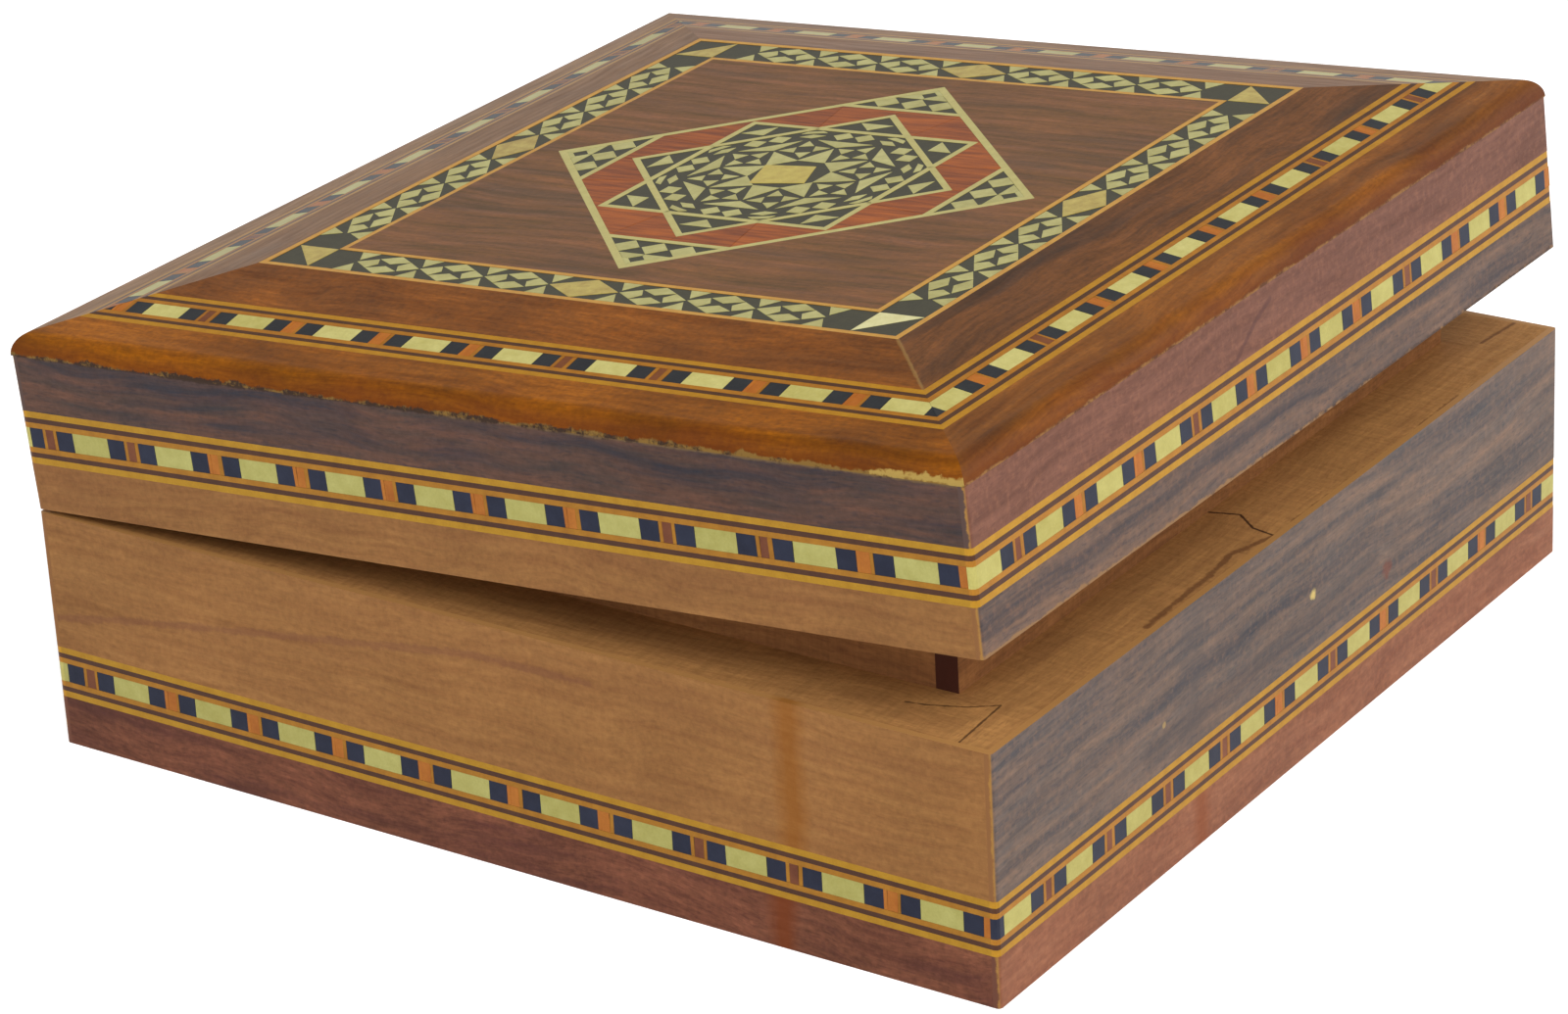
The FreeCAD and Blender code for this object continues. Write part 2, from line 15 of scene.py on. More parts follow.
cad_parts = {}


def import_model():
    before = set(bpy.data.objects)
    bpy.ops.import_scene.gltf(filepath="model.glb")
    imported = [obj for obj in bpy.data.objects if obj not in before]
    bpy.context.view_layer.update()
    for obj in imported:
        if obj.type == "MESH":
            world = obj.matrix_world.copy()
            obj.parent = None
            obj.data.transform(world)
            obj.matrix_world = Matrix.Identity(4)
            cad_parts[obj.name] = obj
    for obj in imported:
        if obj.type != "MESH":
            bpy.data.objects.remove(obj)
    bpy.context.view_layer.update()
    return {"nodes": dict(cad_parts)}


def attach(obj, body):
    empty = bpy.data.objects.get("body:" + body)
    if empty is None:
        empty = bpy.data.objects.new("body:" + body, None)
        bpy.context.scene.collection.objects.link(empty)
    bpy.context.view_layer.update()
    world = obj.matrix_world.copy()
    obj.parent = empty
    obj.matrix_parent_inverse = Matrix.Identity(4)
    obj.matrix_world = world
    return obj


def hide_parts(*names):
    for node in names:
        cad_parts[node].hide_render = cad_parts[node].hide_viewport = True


log = logging.getLogger("puzzle_box")

Point = tuple[float, float]
Colour = tuple[float, float, float]
Limit = tuple[float, float, float]
Socket = bpy.types.NodeSocket

MM_PER_M = 1000.0
# Most values of a noise texture lie in this range, about this middle.
NOISE_RANGE = (0.3, 0.7)
NOISE_MIDDLE = 0.5


class Side(Enum):
    """The four sides of the box and the turn about Z from the front to each."""

    FRONT = 0
    RIGHT = 90
    BACK = 180
    LEFT = -90

    @property
    def word(self) -> str:
        """The side's name as the CAD nodes spell it."""
        return self.name.lower()

    @property
    def across(self) -> bool:
        """Whether the side runs along X."""
        return self in (Side.FRONT, Side.BACK)

    @property
    def near(self) -> bool:
        """Whether the photo shows the side."""
        return self in (Side.FRONT, Side.LEFT)


class Grain(Enum):
    """The axis that the grain runs along, marked among X, Y and Z."""

    ALONG_X = (True, False, False)
    ALONG_Y = (False, True, False)


class Body(Enum):
    """The CAD bodies that pieces ride on."""

    BASE = "base"
    LID = "lid"
    SLIDE = "slide"


class Axis(IntEnum):
    """The box's axes: X along the front, Y to the back and Z up."""

    X = 0
    Y = 1
    Z = 2


@dataclass(frozen=True)
class BoxSizes:
    """Main sizes of the box in millimetres, as the solids have them."""

    half: float = 75.0
    base_height: float = 34.4
    rim_gap: float = 0.3
    lid_height: float = 28.9
    bevel_inset: float = 24.1
    bevel_angle: float = 10.6
    roll_foot: float = 21.9
    band_width: float = 7.5
    base_band_low: float = 7.1
    lid_band_low: float = 6.65
    bevel_band_inset: float = 6.9
    border_width: float = 8.5
    medallion_reach: float = 39.0
    hair: float = 0.004
    veneer: float = 1.0
    corner_round: float = 0.6
    hinge_y: float = 77.1
    hinge_z: float = 34.55
    open_angle: float = 4.5

    @property
    def lid_rim(self) -> float:
        """Height of the shut lid's lower edge."""
        return self.base_height + self.rim_gap

    @property
    def lid_top(self) -> float:
        """Height of the shut lid's flat top."""
        return self.lid_rim + self.lid_height

    @property
    def opened(self) -> Matrix:
        """The turn that takes the shut lid to where it stands, in millimetres."""
        axis = Vector((0.0, self.hinge_y, self.hinge_z))
        turn = Matrix.Rotation(-math.radians(self.open_angle), 4, "X")
        return Matrix.Translation(axis) @ turn @ Matrix.Translation(-axis)


SIZES = BoxSizes()


def srgb(red: int, green: int, blue: int) -> Colour:
    """Turn a colour as seen on a screen into linear light.

    Args:
        red: Red, 0 to 255.
        green: Green, 0 to 255.
        blue: Blue, 0 to 255.

    Returns:
        Linear red, green and blue.
    """
    out = []
    for part in (red, green, blue):
        share = part / 255.0
        out.append(share / 12.92 if share <= 0.04045 else ((share + 0.055) / 1.055) ** 2.4)
    return tuple(out)


@dataclass(frozen=True)
class Cloud:
    """A noise with the same pitch along every axis: waves in a millimetre, its place and its octaves."""

    pitch: float
    seed: float = 0.0
    detail: float = 3.0
    roughness: float = 0.55


class NodeKit:
    """A small helper that builds one node tree, of a material or of the world."""

    def __init__(self, name: str, world: bpy.types.World | None = None) -> None:
        """Start with an empty tree.

        Args:
            name: The material's name.
            world: The world whose tree to build, or none for a new material.
        """
        self.material = world or bpy.data.materials.new(name)
        self.material.use_nodes = True
        self.tree = self.material.node_tree
        self.tree.nodes.clear()

    def add(
        self, kind: str, inputs: dict[str | int, object] | None = None, **settings: object
    ) -> bpy.types.Node:
        """Add a node.

        Args:
            kind: The node's type name.
            inputs: Values or sockets for its inputs, by name or number.
            settings: Properties of the node itself.

        Returns:
            The node.
        """
        node = self.tree.nodes.new(kind)
        for prop, value in settings.items():
            setattr(node, prop, value)
        for key, value in (inputs or {}).items():
            self.feed(node.inputs[key], value)
        return node

    def feed(self, target: Socket, value: object) -> None:
        """Link a socket to an input, or set the input's constant.

        Args:
            target: The input socket.
            value: A socket, a number, a vector or a colour.
        """
        if isinstance(value, bpy.types.NodeSocket):
            self.tree.links.new(value, target)
        elif isinstance(value, tuple) and len(value) == 3 and len(target.default_value) == 4:
            target.default_value = (*value, 1.0)
        else:
            target.default_value = value

    def math(self, operation: str, first: object, second: object = 0.0, clamp: bool = False) -> Socket:
        """One step of arithmetic.

        Args:
            operation: The operation's name.
            first: First value or socket.
            second: Second value or socket.
            clamp: Whether to keep the result from 0 to 1.

        Returns:
            The result's socket.
        """
        node = self.add("ShaderNodeMath", {0: first, 1: second}, operation=operation, use_clamp=clamp)
        return node.outputs[0]

    def vector(self, operation: str, first: object, second: object) -> Socket:
        """One step of vector arithmetic.

        Args:
            operation: The operation's name.
            first: First vector or socket.
            second: Second vector or socket.

        Returns:
            The result's socket.
        """
        return self.add("ShaderNodeVectorMath", {0: first, 1: second}, operation=operation).outputs[0]

    def dot(self, first: object, second: object) -> Socket:
        """The dot product of two vectors.

        Args:
            first: First vector or socket.
            second: Second vector or socket.

        Returns:
            The value's socket.
        """
        node = self.add("ShaderNodeVectorMath", {0: first, 1: second}, operation="DOT_PRODUCT")
        return node.outputs["Value"]

    def grey(self, value: Socket) -> Socket:
        """A colour with the same value in every channel.

        Args:
            value: The value's socket.

        Returns:
            The colour's socket.
        """
        return self.add("ShaderNodeCombineColor", {0: value, 1: value, 2: value}).outputs[0]

    def blend(self, share: object, first: object, second: object) -> Socket:
        """Mix two numbers.

        Args:
            share: How much of the second.
            first: First number or socket.
            second: Second number or socket.

        Returns:
            The number's socket.
        """
        return self.add("ShaderNodeMix", {0: share, 2: first, 3: second}).outputs[0]

    def warped(self, vector: Socket, pitch: float, amount: float, seed: float) -> Socket:
        """Bend space gently.

        Args:
            vector: The vector's socket.
            pitch: Bends in a millimetre.
            amount: Greatest bend in millimetres.
            seed: Where to read the noise.

        Returns:
            The bent vector's socket.
        """
        bend = self.swing(self.cloud(vector, Cloud(pitch, seed, detail=2.0)), amount * 2.0)
        shift = self.add("ShaderNodeCombineXYZ", {0: bend, 1: bend, 2: bend}).outputs[0]
        return self.vector("ADD", vector, shift)

    def scaled(self, vector: Socket, factors: tuple[float, float, float], shift: float = 0.0) -> Socket:
        """Stretch a vector and move it.

        Args:
            vector: The vector's socket.
            factors: Factors along X, Y and Z.
            shift: How far to move it along every axis.

        Returns:
            The result's socket.
        """
        node = self.add("ShaderNodeMapping", {"Vector": vector, "Location": (shift,) * 3, "Scale": factors})
        return node.outputs[0]

    def noise(self, vector: Socket, detail: float, roughness: float) -> Socket:
        """A noise value.

        Args:
            vector: Where to read it.
            detail: Number of octaves.
            roughness: Weight of the finer octaves.

        Returns:
            The noise's socket, about 0 to 1.
        """
        inputs = {"Vector": vector, "Scale": 1.0, "Detail": detail, "Roughness": roughness}
        return self.add("ShaderNodeTexNoise", inputs).outputs["Fac"]

    def cloud(self, vector: Socket, cloud: Cloud) -> Socket:
        """A noise value with the same pitch along every axis.

        Args:
            vector: Where to read it.
            cloud: The noise's pitch, place and octaves.

        Returns:
            The noise's socket, about 0 to 1.
        """
        return self.noise(self.scaled(vector, (cloud.pitch,) * 3, cloud.seed), cloud.detail, cloud.roughness)

    def spread(self, noise: Socket, low: float, high: float) -> Socket:
        """Spread a noise value over a range.

        Args:
            noise: The noise's socket.
            low: Result for a low value.
            high: Result for a high value.

        Returns:
            The result's socket.
        """
        return self.remap(noise, *NOISE_RANGE, low, high)

    def swing(self, noise: Socket, amount: float) -> Socket:
        """Centre a noise value on zero and scale it.

        Args:
            noise: The noise's socket.
            amount: The factor.

        Returns:
            The result's socket.
        """
        return self.math("MULTIPLY", self.math("SUBTRACT", noise, NOISE_MIDDLE), amount)

    def remap(
        self, value: Socket, low: float, high: float, out_low: float = 0.0, out_high: float = 1.0
    ) -> Socket:
        """Spread a value from one range to another, held at the ends.

        Args:
            value: The value's socket.
            low: Value that becomes out_low.
            high: Value that becomes out_high.
            out_low: Result at the low end.
            out_high: Result at the high end.

        Returns:
            The result's socket.
        """
        inputs = {"Value": value, "From Min": low, "From Max": high, "To Min": out_low, "To Max": out_high}
        return self.add("ShaderNodeMapRange", inputs, clamp=True).outputs[0]

    def mix(self, share: object, first: object, second: object, blend: str = "MIX") -> Socket:
        """Mix two colours.

        Args:
            share: How much of the second.
            first: First colour or socket.
            second: Second colour or socket.
            blend: How they mix.

        Returns:
            The colour's socket.
        """
        node = self.add("ShaderNodeMix", data_type="RGBA", blend_type=blend)
        self.feed(node.inputs["Factor"], share)
        self.feed(node.inputs["A"], first)
        self.feed(node.inputs["B"], second)
        return node.outputs["Result"]

    def place(self, body: Body) -> Socket:
        """Coordinates in millimetres, with the lid's turned back to where it is shut.

        Args:
            body: The body that the piece rides on.

        Returns:
            The vector's socket.
        """
        where = self.add("ShaderNodeTexCoord").outputs["Object"]
        where = self.scaled(where, (MM_PER_M,) * 3)
        if body is Body.LID:
            inputs = {
                "Vector": where,
                "Center": (0.0, SIZES.hinge_y, SIZES.hinge_z),
                "Angle": math.radians(SIZES.open_angle),
            }
            where = self.add("ShaderNodeVectorRotate", inputs, rotation_type="X_AXIS").outputs[0]
        return where

    def split(self, vector: Socket) -> tuple[Socket, Socket, Socket]:
        """The three parts of a vector.

        Args:
            vector: The vector's socket.

        Returns:
            Sockets for X, Y and Z.
        """
        node = self.add("ShaderNodeSeparateXYZ", {0: vector})
        return node.outputs[0], node.outputs[1], node.outputs[2]

    def seen(self) -> Socket:
        """Tell rays that show a surface, straight or in polish or glass, from those that light.

        Returns:
            1 for camera, glossy and transmission rays and 0 for others.
        """
        paths = self.add("ShaderNodeLightPath").outputs
        shown = self.math("MAXIMUM", paths["Is Camera Ray"], paths["Is Glossy Ray"])
        return self.math("MAXIMUM", shown, paths["Is Transmission Ray"])

    def surface(self, inputs: dict[str, object], bump: Socket, depth: float) -> bpy.types.Material:
        """Close the tree with a surface shader.

        Args:
            inputs: The shader's inputs.
            bump: Height of the fine relief.
            depth: Height of the relief in millimetres.

        Returns:
            The finished material.
        """
        shader = self.add("ShaderNodeBsdfPrincipled", inputs)
        relief = self.add("ShaderNodeBump", {"Height": bump, "Strength": 1.0, "Distance": depth / MM_PER_M})
        self.tree.links.new(relief.outputs[0], shader.inputs["Normal"])
        self.add("ShaderNodeOutputMaterial", {"Surface": shader.outputs[0]})
        return self.material


@dataclass(frozen=True)
class Ground:
    """What a mark can read: places in millimetres and the way that the surface faces."""

    where: Socket
    parts: tuple[Socket, Socket, Socket]
    facing: tuple[Socket, Socket, Socket]

    def shown(self, kit: NodeKit, share: Socket, axis: Axis) -> Socket:
        """Keep a mark on the walls that the photo shows, the left one and the front one.

        Args:
            kit: The node helper.
            share: How much of the mark there is.
            axis: The axis that the wall runs along.

        Returns:
            The share, and 0 on the opposite wall.
        """
        return kit.math("MULTIPLY", share, kit.math("LESS_THAN", self.parts[1 - axis], 0.0))


class Mark(ABC):
    """Something laid over a wood's colour."""

    @abstractmethod
    def lay(self, kit: NodeKit, ground: Ground, colour: Socket) -> Socket:
        """Lay the mark over a colour.

        Args:
            kit: The node helper.
            ground: Places and facings on the surface.
            colour: The colour so far.

        Returns:
            The colour with the mark.
        """


@dataclass(frozen=True)
class Run(Mark):
    """A soft upright stain left by varnish, centred at a place along a wall."""

    axis: Axis
    centre: float
    half_width: float
    colour: Colour
    strength: float
    sway: float = 2.0

    SWAY = Cloud(0.15)
    CORE = 0.2

    def lay(self, kit: NodeKit, ground: Ground, colour: Socket) -> Socket:
        """Lay the stain over a colour.

        Args:
            kit: The node helper.
            ground: Places and facings on the surface.
            colour: The colour so far.

        Returns:
            The colour with the stain.
        """
        sway = kit.math("MULTIPLY", kit.cloud(ground.where, self.SWAY), self.sway)
        place = kit.math("SUBTRACT", ground.parts[self.axis], self.centre + self.sway / 2)
        far = kit.math("ABSOLUTE", kit.math("ADD", place, sway))
        share = kit.remap(far, self.half_width, self.half_width * self.CORE, 0.0, self.strength)
        return kit.mix(ground.shown(kit, share, self.axis), colour, self.colour)


@dataclass(frozen=True)
class RawEdge(Mark):
    """Bare wood on a veneer's own edge, with an irregular pale line at the box's corner."""

    axis: Axis
    pale: Colour
    behind: Colour
    corner: float = 75.2

    RAGGED = Cloud(0.7, 3.0, 5.0, 0.7)
    REACH = 1.1
    SOFT = 0.1
    TURNED = (0.55, 0.8)

    def lay(self, kit: NodeKit, ground: Ground, colour: Socket) -> Socket:
        """Lay the bare edge over a colour.

        Args:
            kit: The node helper.
            ground: Places and facings on the surface.
            colour: The colour so far.

        Returns:
            The colour with the edge.
        """
        share = kit.remap(kit.math("ABSOLUTE", ground.facing[self.axis]), *self.TURNED)
        ragged = kit.math("MULTIPLY", kit.cloud(ground.where, self.RAGGED), self.REACH)
        reach = kit.math("ADD", kit.math("ABSOLUTE", ground.parts[Axis.Y]), ragged)
        line = kit.remap(reach, self.corner - self.SOFT, self.corner + self.SOFT)
        return kit.mix(share, colour, kit.mix(line, self.behind, self.pale))


@dataclass(frozen=True)
class WornEdge(Mark):
    """A torn line along an edge: pale core wood towards one end, dark gaps towards the other."""

    axis: Axis
    level: float
    height: float
    pale: Colour
    torn: Colour
    turn: float = 0.0
    bias: float = 0.1
    above: bool = True

    RAGGED = Cloud(0.2, 7.0, 7.0, 0.74)
    HEIGHTS = (-0.2, 1.5)
    SOFT = (-0.1, 0.12)
    TONE = Cloud(0.4, 1.0, 5.0, 0.75)
    TEAR = (0.46, 0.58)
    STRETCH = 25.0

    def lay(self, kit: NodeKit, ground: Ground, colour: Socket) -> Socket:
        """Lay the torn line over a colour.

        Args:
            kit: The node helper.
            ground: Places and facings on the surface.
            colour: The colour so far.

        Returns:
            The colour with the line.
        """
        tall = kit.spread(kit.cloud(ground.where, self.RAGGED), *self.HEIGHTS)
        tall = kit.math("MULTIPLY", tall, self.height)
        rise = kit.math("SUBTRACT", ground.parts[Axis.Z], self.level)
        if not self.above:
            rise = kit.math("MULTIPLY", rise, -1.0)
        inside = kit.remap(kit.math("SUBTRACT", tall, rise), *self.SOFT)
        start, end = self.turn - self.STRETCH, self.turn + self.STRETCH
        lean = kit.remap(ground.parts[self.axis], start, end, -self.bias, self.bias)
        tone = kit.math("ADD", kit.cloud(ground.where, self.TONE), lean)
        edge = kit.mix(kit.remap(tone, *self.TEAR), self.pale, self.torn)
        return kit.mix(inside, colour, edge)


@dataclass(frozen=True)
class Handled(Mark):
    """Painted shade: a darker tone low on a piece, where its rolled edge turns down away from the light."""

    level: float
    height: float
    colour: Colour
    strength: float

    CLOUD = Cloud(0.1, 9.0, 3.0, 0.6)
    HEIGHTS = (0.7, 1.3)

    def lay(self, kit: NodeKit, ground: Ground, colour: Socket) -> Socket:
        """Lay the painted shade over a colour.

        Args:
            kit: The node helper.
            ground: Places and facings on the surface.
            colour: The colour so far.

        Returns:
            The colour with the painted shade.
        """
        low, high = (self.level + self.height * share for share in self.HEIGHTS)
        top = kit.spread(kit.cloud(ground.where, self.CLOUD), low, high)
        drop = kit.math("SUBTRACT", top, ground.parts[Axis.Z])
        share = kit.math("DIVIDE", drop, self.height, True)
        return kit.mix(kit.math("MULTIPLY", share, self.strength), colour, self.colour)


@dataclass(frozen=True)
class Spot(Mark):
    """A small chip or stain at a place on a wall."""

    axis: Axis
    along: float
    level: float
    radius: float
    colour: Colour
    strength: float = 1.0

    RAGGED = Cloud(0.8, 5.0)
    UNEVEN = 1.6
    CORE = 0.5

    def lay(self, kit: NodeKit, ground: Ground, colour: Socket) -> Socket:
        """Lay the spot over a colour.

        Args:
            kit: The node helper.
            ground: Places and facings on the surface.
            colour: The colour so far.

        Returns:
            The colour with the spot.
        """
        across = kit.math("SUBTRACT", ground.parts[self.axis], self.along)
        up = kit.math("SUBTRACT", ground.parts[Axis.Z], self.level)
        squares = [kit.math("POWER", part, 2.0) for part in (across, up)]
        far = kit.math("SQRT", kit.math("ADD", *squares))
        ragged = kit.swing(kit.cloud(ground.where, self.RAGGED), self.radius * self.UNEVEN)
        far = kit.math("ADD", far, ragged)
        share = kit.remap(far, self.radius, self.radius * self.CORE, 0.0, self.strength)
        return kit.mix(ground.shown(kit, share, self.axis), colour, self.colour)


@dataclass(frozen=True)
class Stroke(Mark):
    """A line, such as a crack, a glue line or a worn mitre, drawn through points in one plane."""

    axes: tuple[Axis, Axis]
    points: tuple[Point, ...]
    width: float
    colour: Colour
    strength: float = 1.0
    ragged: float = 0.3

    WOBBLE = Cloud(0.7, 2.0, 4.0, 0.65)
    UNEVEN = 2.5
    CORE = 0.4

    def lay(self, kit: NodeKit, ground: Ground, colour: Socket) -> Socket:
        """Lay the line over a colour.

        Args:
            kit: The node helper.
            ground: Places and facings on the surface.
            colour: The colour so far.

        Returns:
            The colour with the line.
        """
        flat = {number: ground.parts[axis] for number, axis in enumerate(self.axes)}
        here = kit.add("ShaderNodeCombineXYZ", flat).outputs[0]
        stretches = [self._far(kit, here, *ends) for ends in zip(self.points, self.points[1:])]
        far = stretches[0]
        for other in stretches[1:]:
            far = kit.math("MINIMUM", far, other)
        ragged = kit.swing(kit.cloud(ground.where, self.WOBBLE), self.ragged * self.UNEVEN)
        far = kit.math("ADD", far, ragged)
        share = kit.remap(far, self.width, self.width * self.CORE, 0.0, self.strength)
        if Axis.Z in self.axes:
            share = ground.shown(kit, share, self.axes[0])
        return kit.mix(share, colour, self.colour)

    @staticmethod
    def _far(kit: NodeKit, here: Socket, start: Point, end: Point) -> Socket:
        """How far a place is from one straight stretch of the line.

        Args:
            kit: The node helper.
            here: The place, in the line's plane.
            start: Where the stretch starts.
            end: Where it ends.

        Returns:
            The distance's socket.
        """
        reach = (end[0] - start[0], end[1] - start[1], 0.0)
        offset = kit.vector("SUBTRACT", here, (*start, 0.0))
        share = kit.math("DIVIDE", kit.dot(offset, reach), reach[0] ** 2 + reach[1] ** 2, True)
        shares = kit.add("ShaderNodeCombineXYZ", {0: share, 1: share}).outputs[0]
        away = kit.vector("SUBTRACT", offset, kit.vector("MULTIPLY", reach, shares))
        return kit.add("ShaderNodeVectorMath", {0: away}, operation="LENGTH").outputs["Value"]


@dataclass(frozen=True)
class GrainLayer:
    """A noise drawn out along the grain: waves in a millimetre across and along it, and its octaves."""

    across: float
    along: float
    detail: float
    roughness: float


@dataclass(frozen=True)
class Wood:
    """A wood finish: its colours, the pattern of its grain, its polish and its marks."""

    name: str
    light: Colour
    dark: Colour
    streak: Colour
    grain: Grain
    body: Body = Body.BASE
    seed: float = 0.0
    streak_pitch: float = 0.17
    streak_stretch: float = 0.09
    streak_share: float = 0.5
    wander: float = 5.0
    fine: float = 0.14
    speckle: float = 0.07
    pores: float = 0.3
    blotch: float = 0.08
    saw: float = 0.0
    fleck: Colour | None = None
    roughness: float = 0.45
    sheen: float = 0.1
    relief: float = 0.02
    marks: tuple[Mark, ...] = ()

    BEND = 0.022
    SEED_STEP = 1.3
    BANDS = GrainLayer(0.75, 0.05, 4.0, 0.62)
    DASHES = GrainLayer(2.0, 0.32, 3.0, 0.68)
    PORES = GrainLayer(3.4, 0.7, 1.0, 0.5)
    SAW = GrainLayer(0.12, 1.6, 2.0, 0.55)
    # From where to where in its noise each part of the figure comes in.
    BAND_START = (0.32, 0.7)
    STREAK_START = (0.47, 0.68)
    DASH_START = (0.25, 0.75)
    PORE_START = (0.56, 0.7)
    FLECK_START = (0.5, 0.75)
    # How the dashes break the streaks up: a range of their noise, and the streaks' shares at its ends.
    BROKEN = (0.25, 0.6, 0.55, 1.0)
    FLECK_SHARE = 0.3
    POLISH = (-0.05, 0.07)

    def build(self) -> bpy.types.Material:
        """Make the material.

        Returns:
            The material.
        """
        kit = NodeKit(self.name)
        where = kit.place(self.body)
        bent = kit.warped(where, self.BEND, self.wander, self.seed)
        streak_length = self.streak_pitch * self.streak_stretch
        streak = GrainLayer(self.streak_pitch, streak_length, detail=4.0, roughness=0.6)
        figure, bands, dashes, pores = (
            self._layer(kit, bent, layer, self.seed * self.SEED_STEP + layer.across)
            for layer in (streak, self.BANDS, self.DASHES, self.PORES)
        )
        grit = kit.cloud(where, Cloud(pitch=1.3, seed=self.seed, detail=2.0, roughness=0.6))
        colour = kit.mix(kit.remap(bands, *self.BAND_START), self.light, self.dark)
        streaks = kit.remap(figure, *self.STREAK_START)
        streaks = kit.math("MULTIPLY", streaks, kit.remap(dashes, *self.BROKEN))
        colour = kit.mix(kit.math("MULTIPLY", streaks, self.streak_share), colour, self.streak)
        tone = self._tone(kit, where, dashes, grit)
        colour = kit.mix(1.0, colour, kit.grey(tone), "MULTIPLY")
        colour = kit.mix(kit.remap(pores, *self.PORE_START, 0.0, self.pores), colour, self.streak)
        if self.fleck:
            share = kit.remap(grit, *self.FLECK_START, 0.0, self.FLECK_SHARE)
            colour = kit.mix(share, colour, self.fleck)
        facing = kit.split(kit.add("ShaderNodeNewGeometry").outputs["True Normal"])
        ground = Ground(where, kit.split(where), facing)
        for mark in self.marks:
            colour = mark.lay(kit, ground, colour)
        inputs = {
            "Base Color": colour,
            "Roughness": kit.spread(bands, *(self.roughness + step for step in self.POLISH)),
            "Specular IOR Level": self.sheen,
        }
        return kit.surface(inputs, grit, self.relief)

    def _layer(self, kit: NodeKit, where: Socket, layer: GrainLayer, shift: float) -> Socket:
        """Read a noise that is drawn out along the grain.

        Args:
            kit: The node helper.
            where: Places in millimetres.
            layer: How long and how fine the noise is.
            shift: How far to move the place along every axis.

        Returns:
            The noise's socket.
        """
        factors = tuple(layer.along if runs else layer.across for runs in self.grain.value)
        return kit.noise(kit.scaled(where, factors, shift), layer.detail, layer.roughness)

    def _tone(self, kit: NodeKit, where: Socket, dashes: Socket, grit: Socket) -> Socket:
        """Make the wood lighter and darker from place to place.

        Args:
            kit: The node helper.
            where: Places in millimetres.
            dashes: The noise of the short grain lines.
            grit: The noise of the fine specks.

        Returns:
            A factor's socket, about 1.
        """
        tone = kit.remap(dashes, *self.DASH_START, 1.0 - self.fine, 1.0 + self.fine)
        clouds = kit.cloud(where, Cloud(pitch=0.05, seed=self.seed + 20.0))
        layers = [(clouds, self.blotch), (grit, self.speckle)]
        if self.saw:
            layers.append((self._layer(kit, where, self.SAW, 0.0), self.saw))
        for noise, amount in layers:
            tone = kit.math("MULTIPLY", tone, kit.spread(noise, 1.0 - amount, 1.0 + amount))
        return tone


@dataclass(frozen=True)
class Ageing:
    """How the inlays of one place are toned and how much they shine; on the far bevels the tone is partly
    painted haze.
    """

    name: str
    tone: Colour = (1.0, 1.0, 1.0)
    shine: float = 1.0

    def aged(self, colour: Colour) -> Colour:
        """Multiply a colour by the tone, channel by channel.

        Args:
            colour: The inlay's own colour.

        Returns:
            The toned colour.
        """
        return tuple(part * share for part, share in zip(colour, self.tone))


@dataclass(frozen=True)
class Tile:
    """The finish of one kind of inlaid tile."""

    colour: Colour
    shade: Colour
    mottle: float = 0.5
    roughness: float = 0.4
    stretch: tuple[float, float, float] = (0.55, 0.55, 0.55)
    sheen: float = 0.12

    GRIT = Cloud(3.0, 0.0, 3.0, 0.6)
    GRIT_TONE = (0.95, 1.05)
    TINT_SHARE = 0.6
    RELIEF = 0.012

    def build(self, name: str, body: Body, ageing: Ageing) -> bpy.types.Material:
        """Make the material, which also reads each tile's own tint.

        Args:
            name: The material's name.
            body: The body that the tiles ride on.
            ageing: How the tiles of this place are toned and how much they shine.

        Returns:
            The material.
        """
        kit = NodeKit(name)
        where = kit.place(body)
        cloud = kit.noise(kit.scaled(where, self.stretch, shift=4.0), detail=4.0, roughness=0.6)
        grit = kit.cloud(where, self.GRIT)
        tint = kit.add("ShaderNodeAttribute", attribute_name="tint").outputs["Fac"]
        tint = kit.math("MULTIPLY", tint, self.TINT_SHARE)
        share = kit.math("ADD", kit.spread(cloud, 0.0, self.mottle), tint, True)
        colour = kit.mix(share, ageing.aged(self.colour), ageing.aged(self.shade))
        colour = kit.mix(1.0, colour, kit.grey(kit.spread(grit, *self.GRIT_TONE)), "MULTIPLY")
        inputs = {
            "Base Color": colour,
            "Roughness": self.roughness,
            "Specular IOR Level": self.sheen * ageing.shine,
        }
        return kit.surface(inputs, grit, self.RELIEF)


@dataclass(frozen=True)
class Brass:
    """Dulled brass."""

    name: str = "dulled_brass"
    colour: Colour = srgb(176, 140, 74)
    tarnish: Colour = srgb(112, 84, 46)
    stretch: tuple[float, float, float] = (0.4, 1.5, 1.5)
    tarnished: Point = (0.35, 0.75)
    polish: Point = (0.28, 0.5)
    relief: float = 0.02

    def build(self) -> bpy.types.Material:
        """Make the material.

        Returns:
            The material.
        """
        kit = NodeKit(self.name)
        where = kit.place(Body.BASE)
        cloud = kit.noise(kit.scaled(where, self.stretch), detail=5.0, roughness=0.65)
        colour = kit.mix(kit.remap(cloud, *self.tarnished), self.colour, self.tarnish)
        inputs = {"Base Color": colour, "Metallic": 1.0, "Roughness": kit.spread(cloud, *self.polish)}
        return kit.surface(inputs, cloud, self.relief)


class TileKind(Enum):
    """The kinds of tile that the inlays are made of."""

    GROUND = "ground"
    CREAM = "cream"
    BONE = "bone"
    IVORY = "ivory"
    PEARL = "pearl"
    HONEY = "honey"
    BLACK = "black"
    ORANGE = "orange"
    RUST = "rust"
    RED = "red"
    OCHRE = "ochre"
    LINE = "line"
    AMBER = "amber"
    RULE = "rule"


STREAKY = (1.5, 0.12, 1.5)

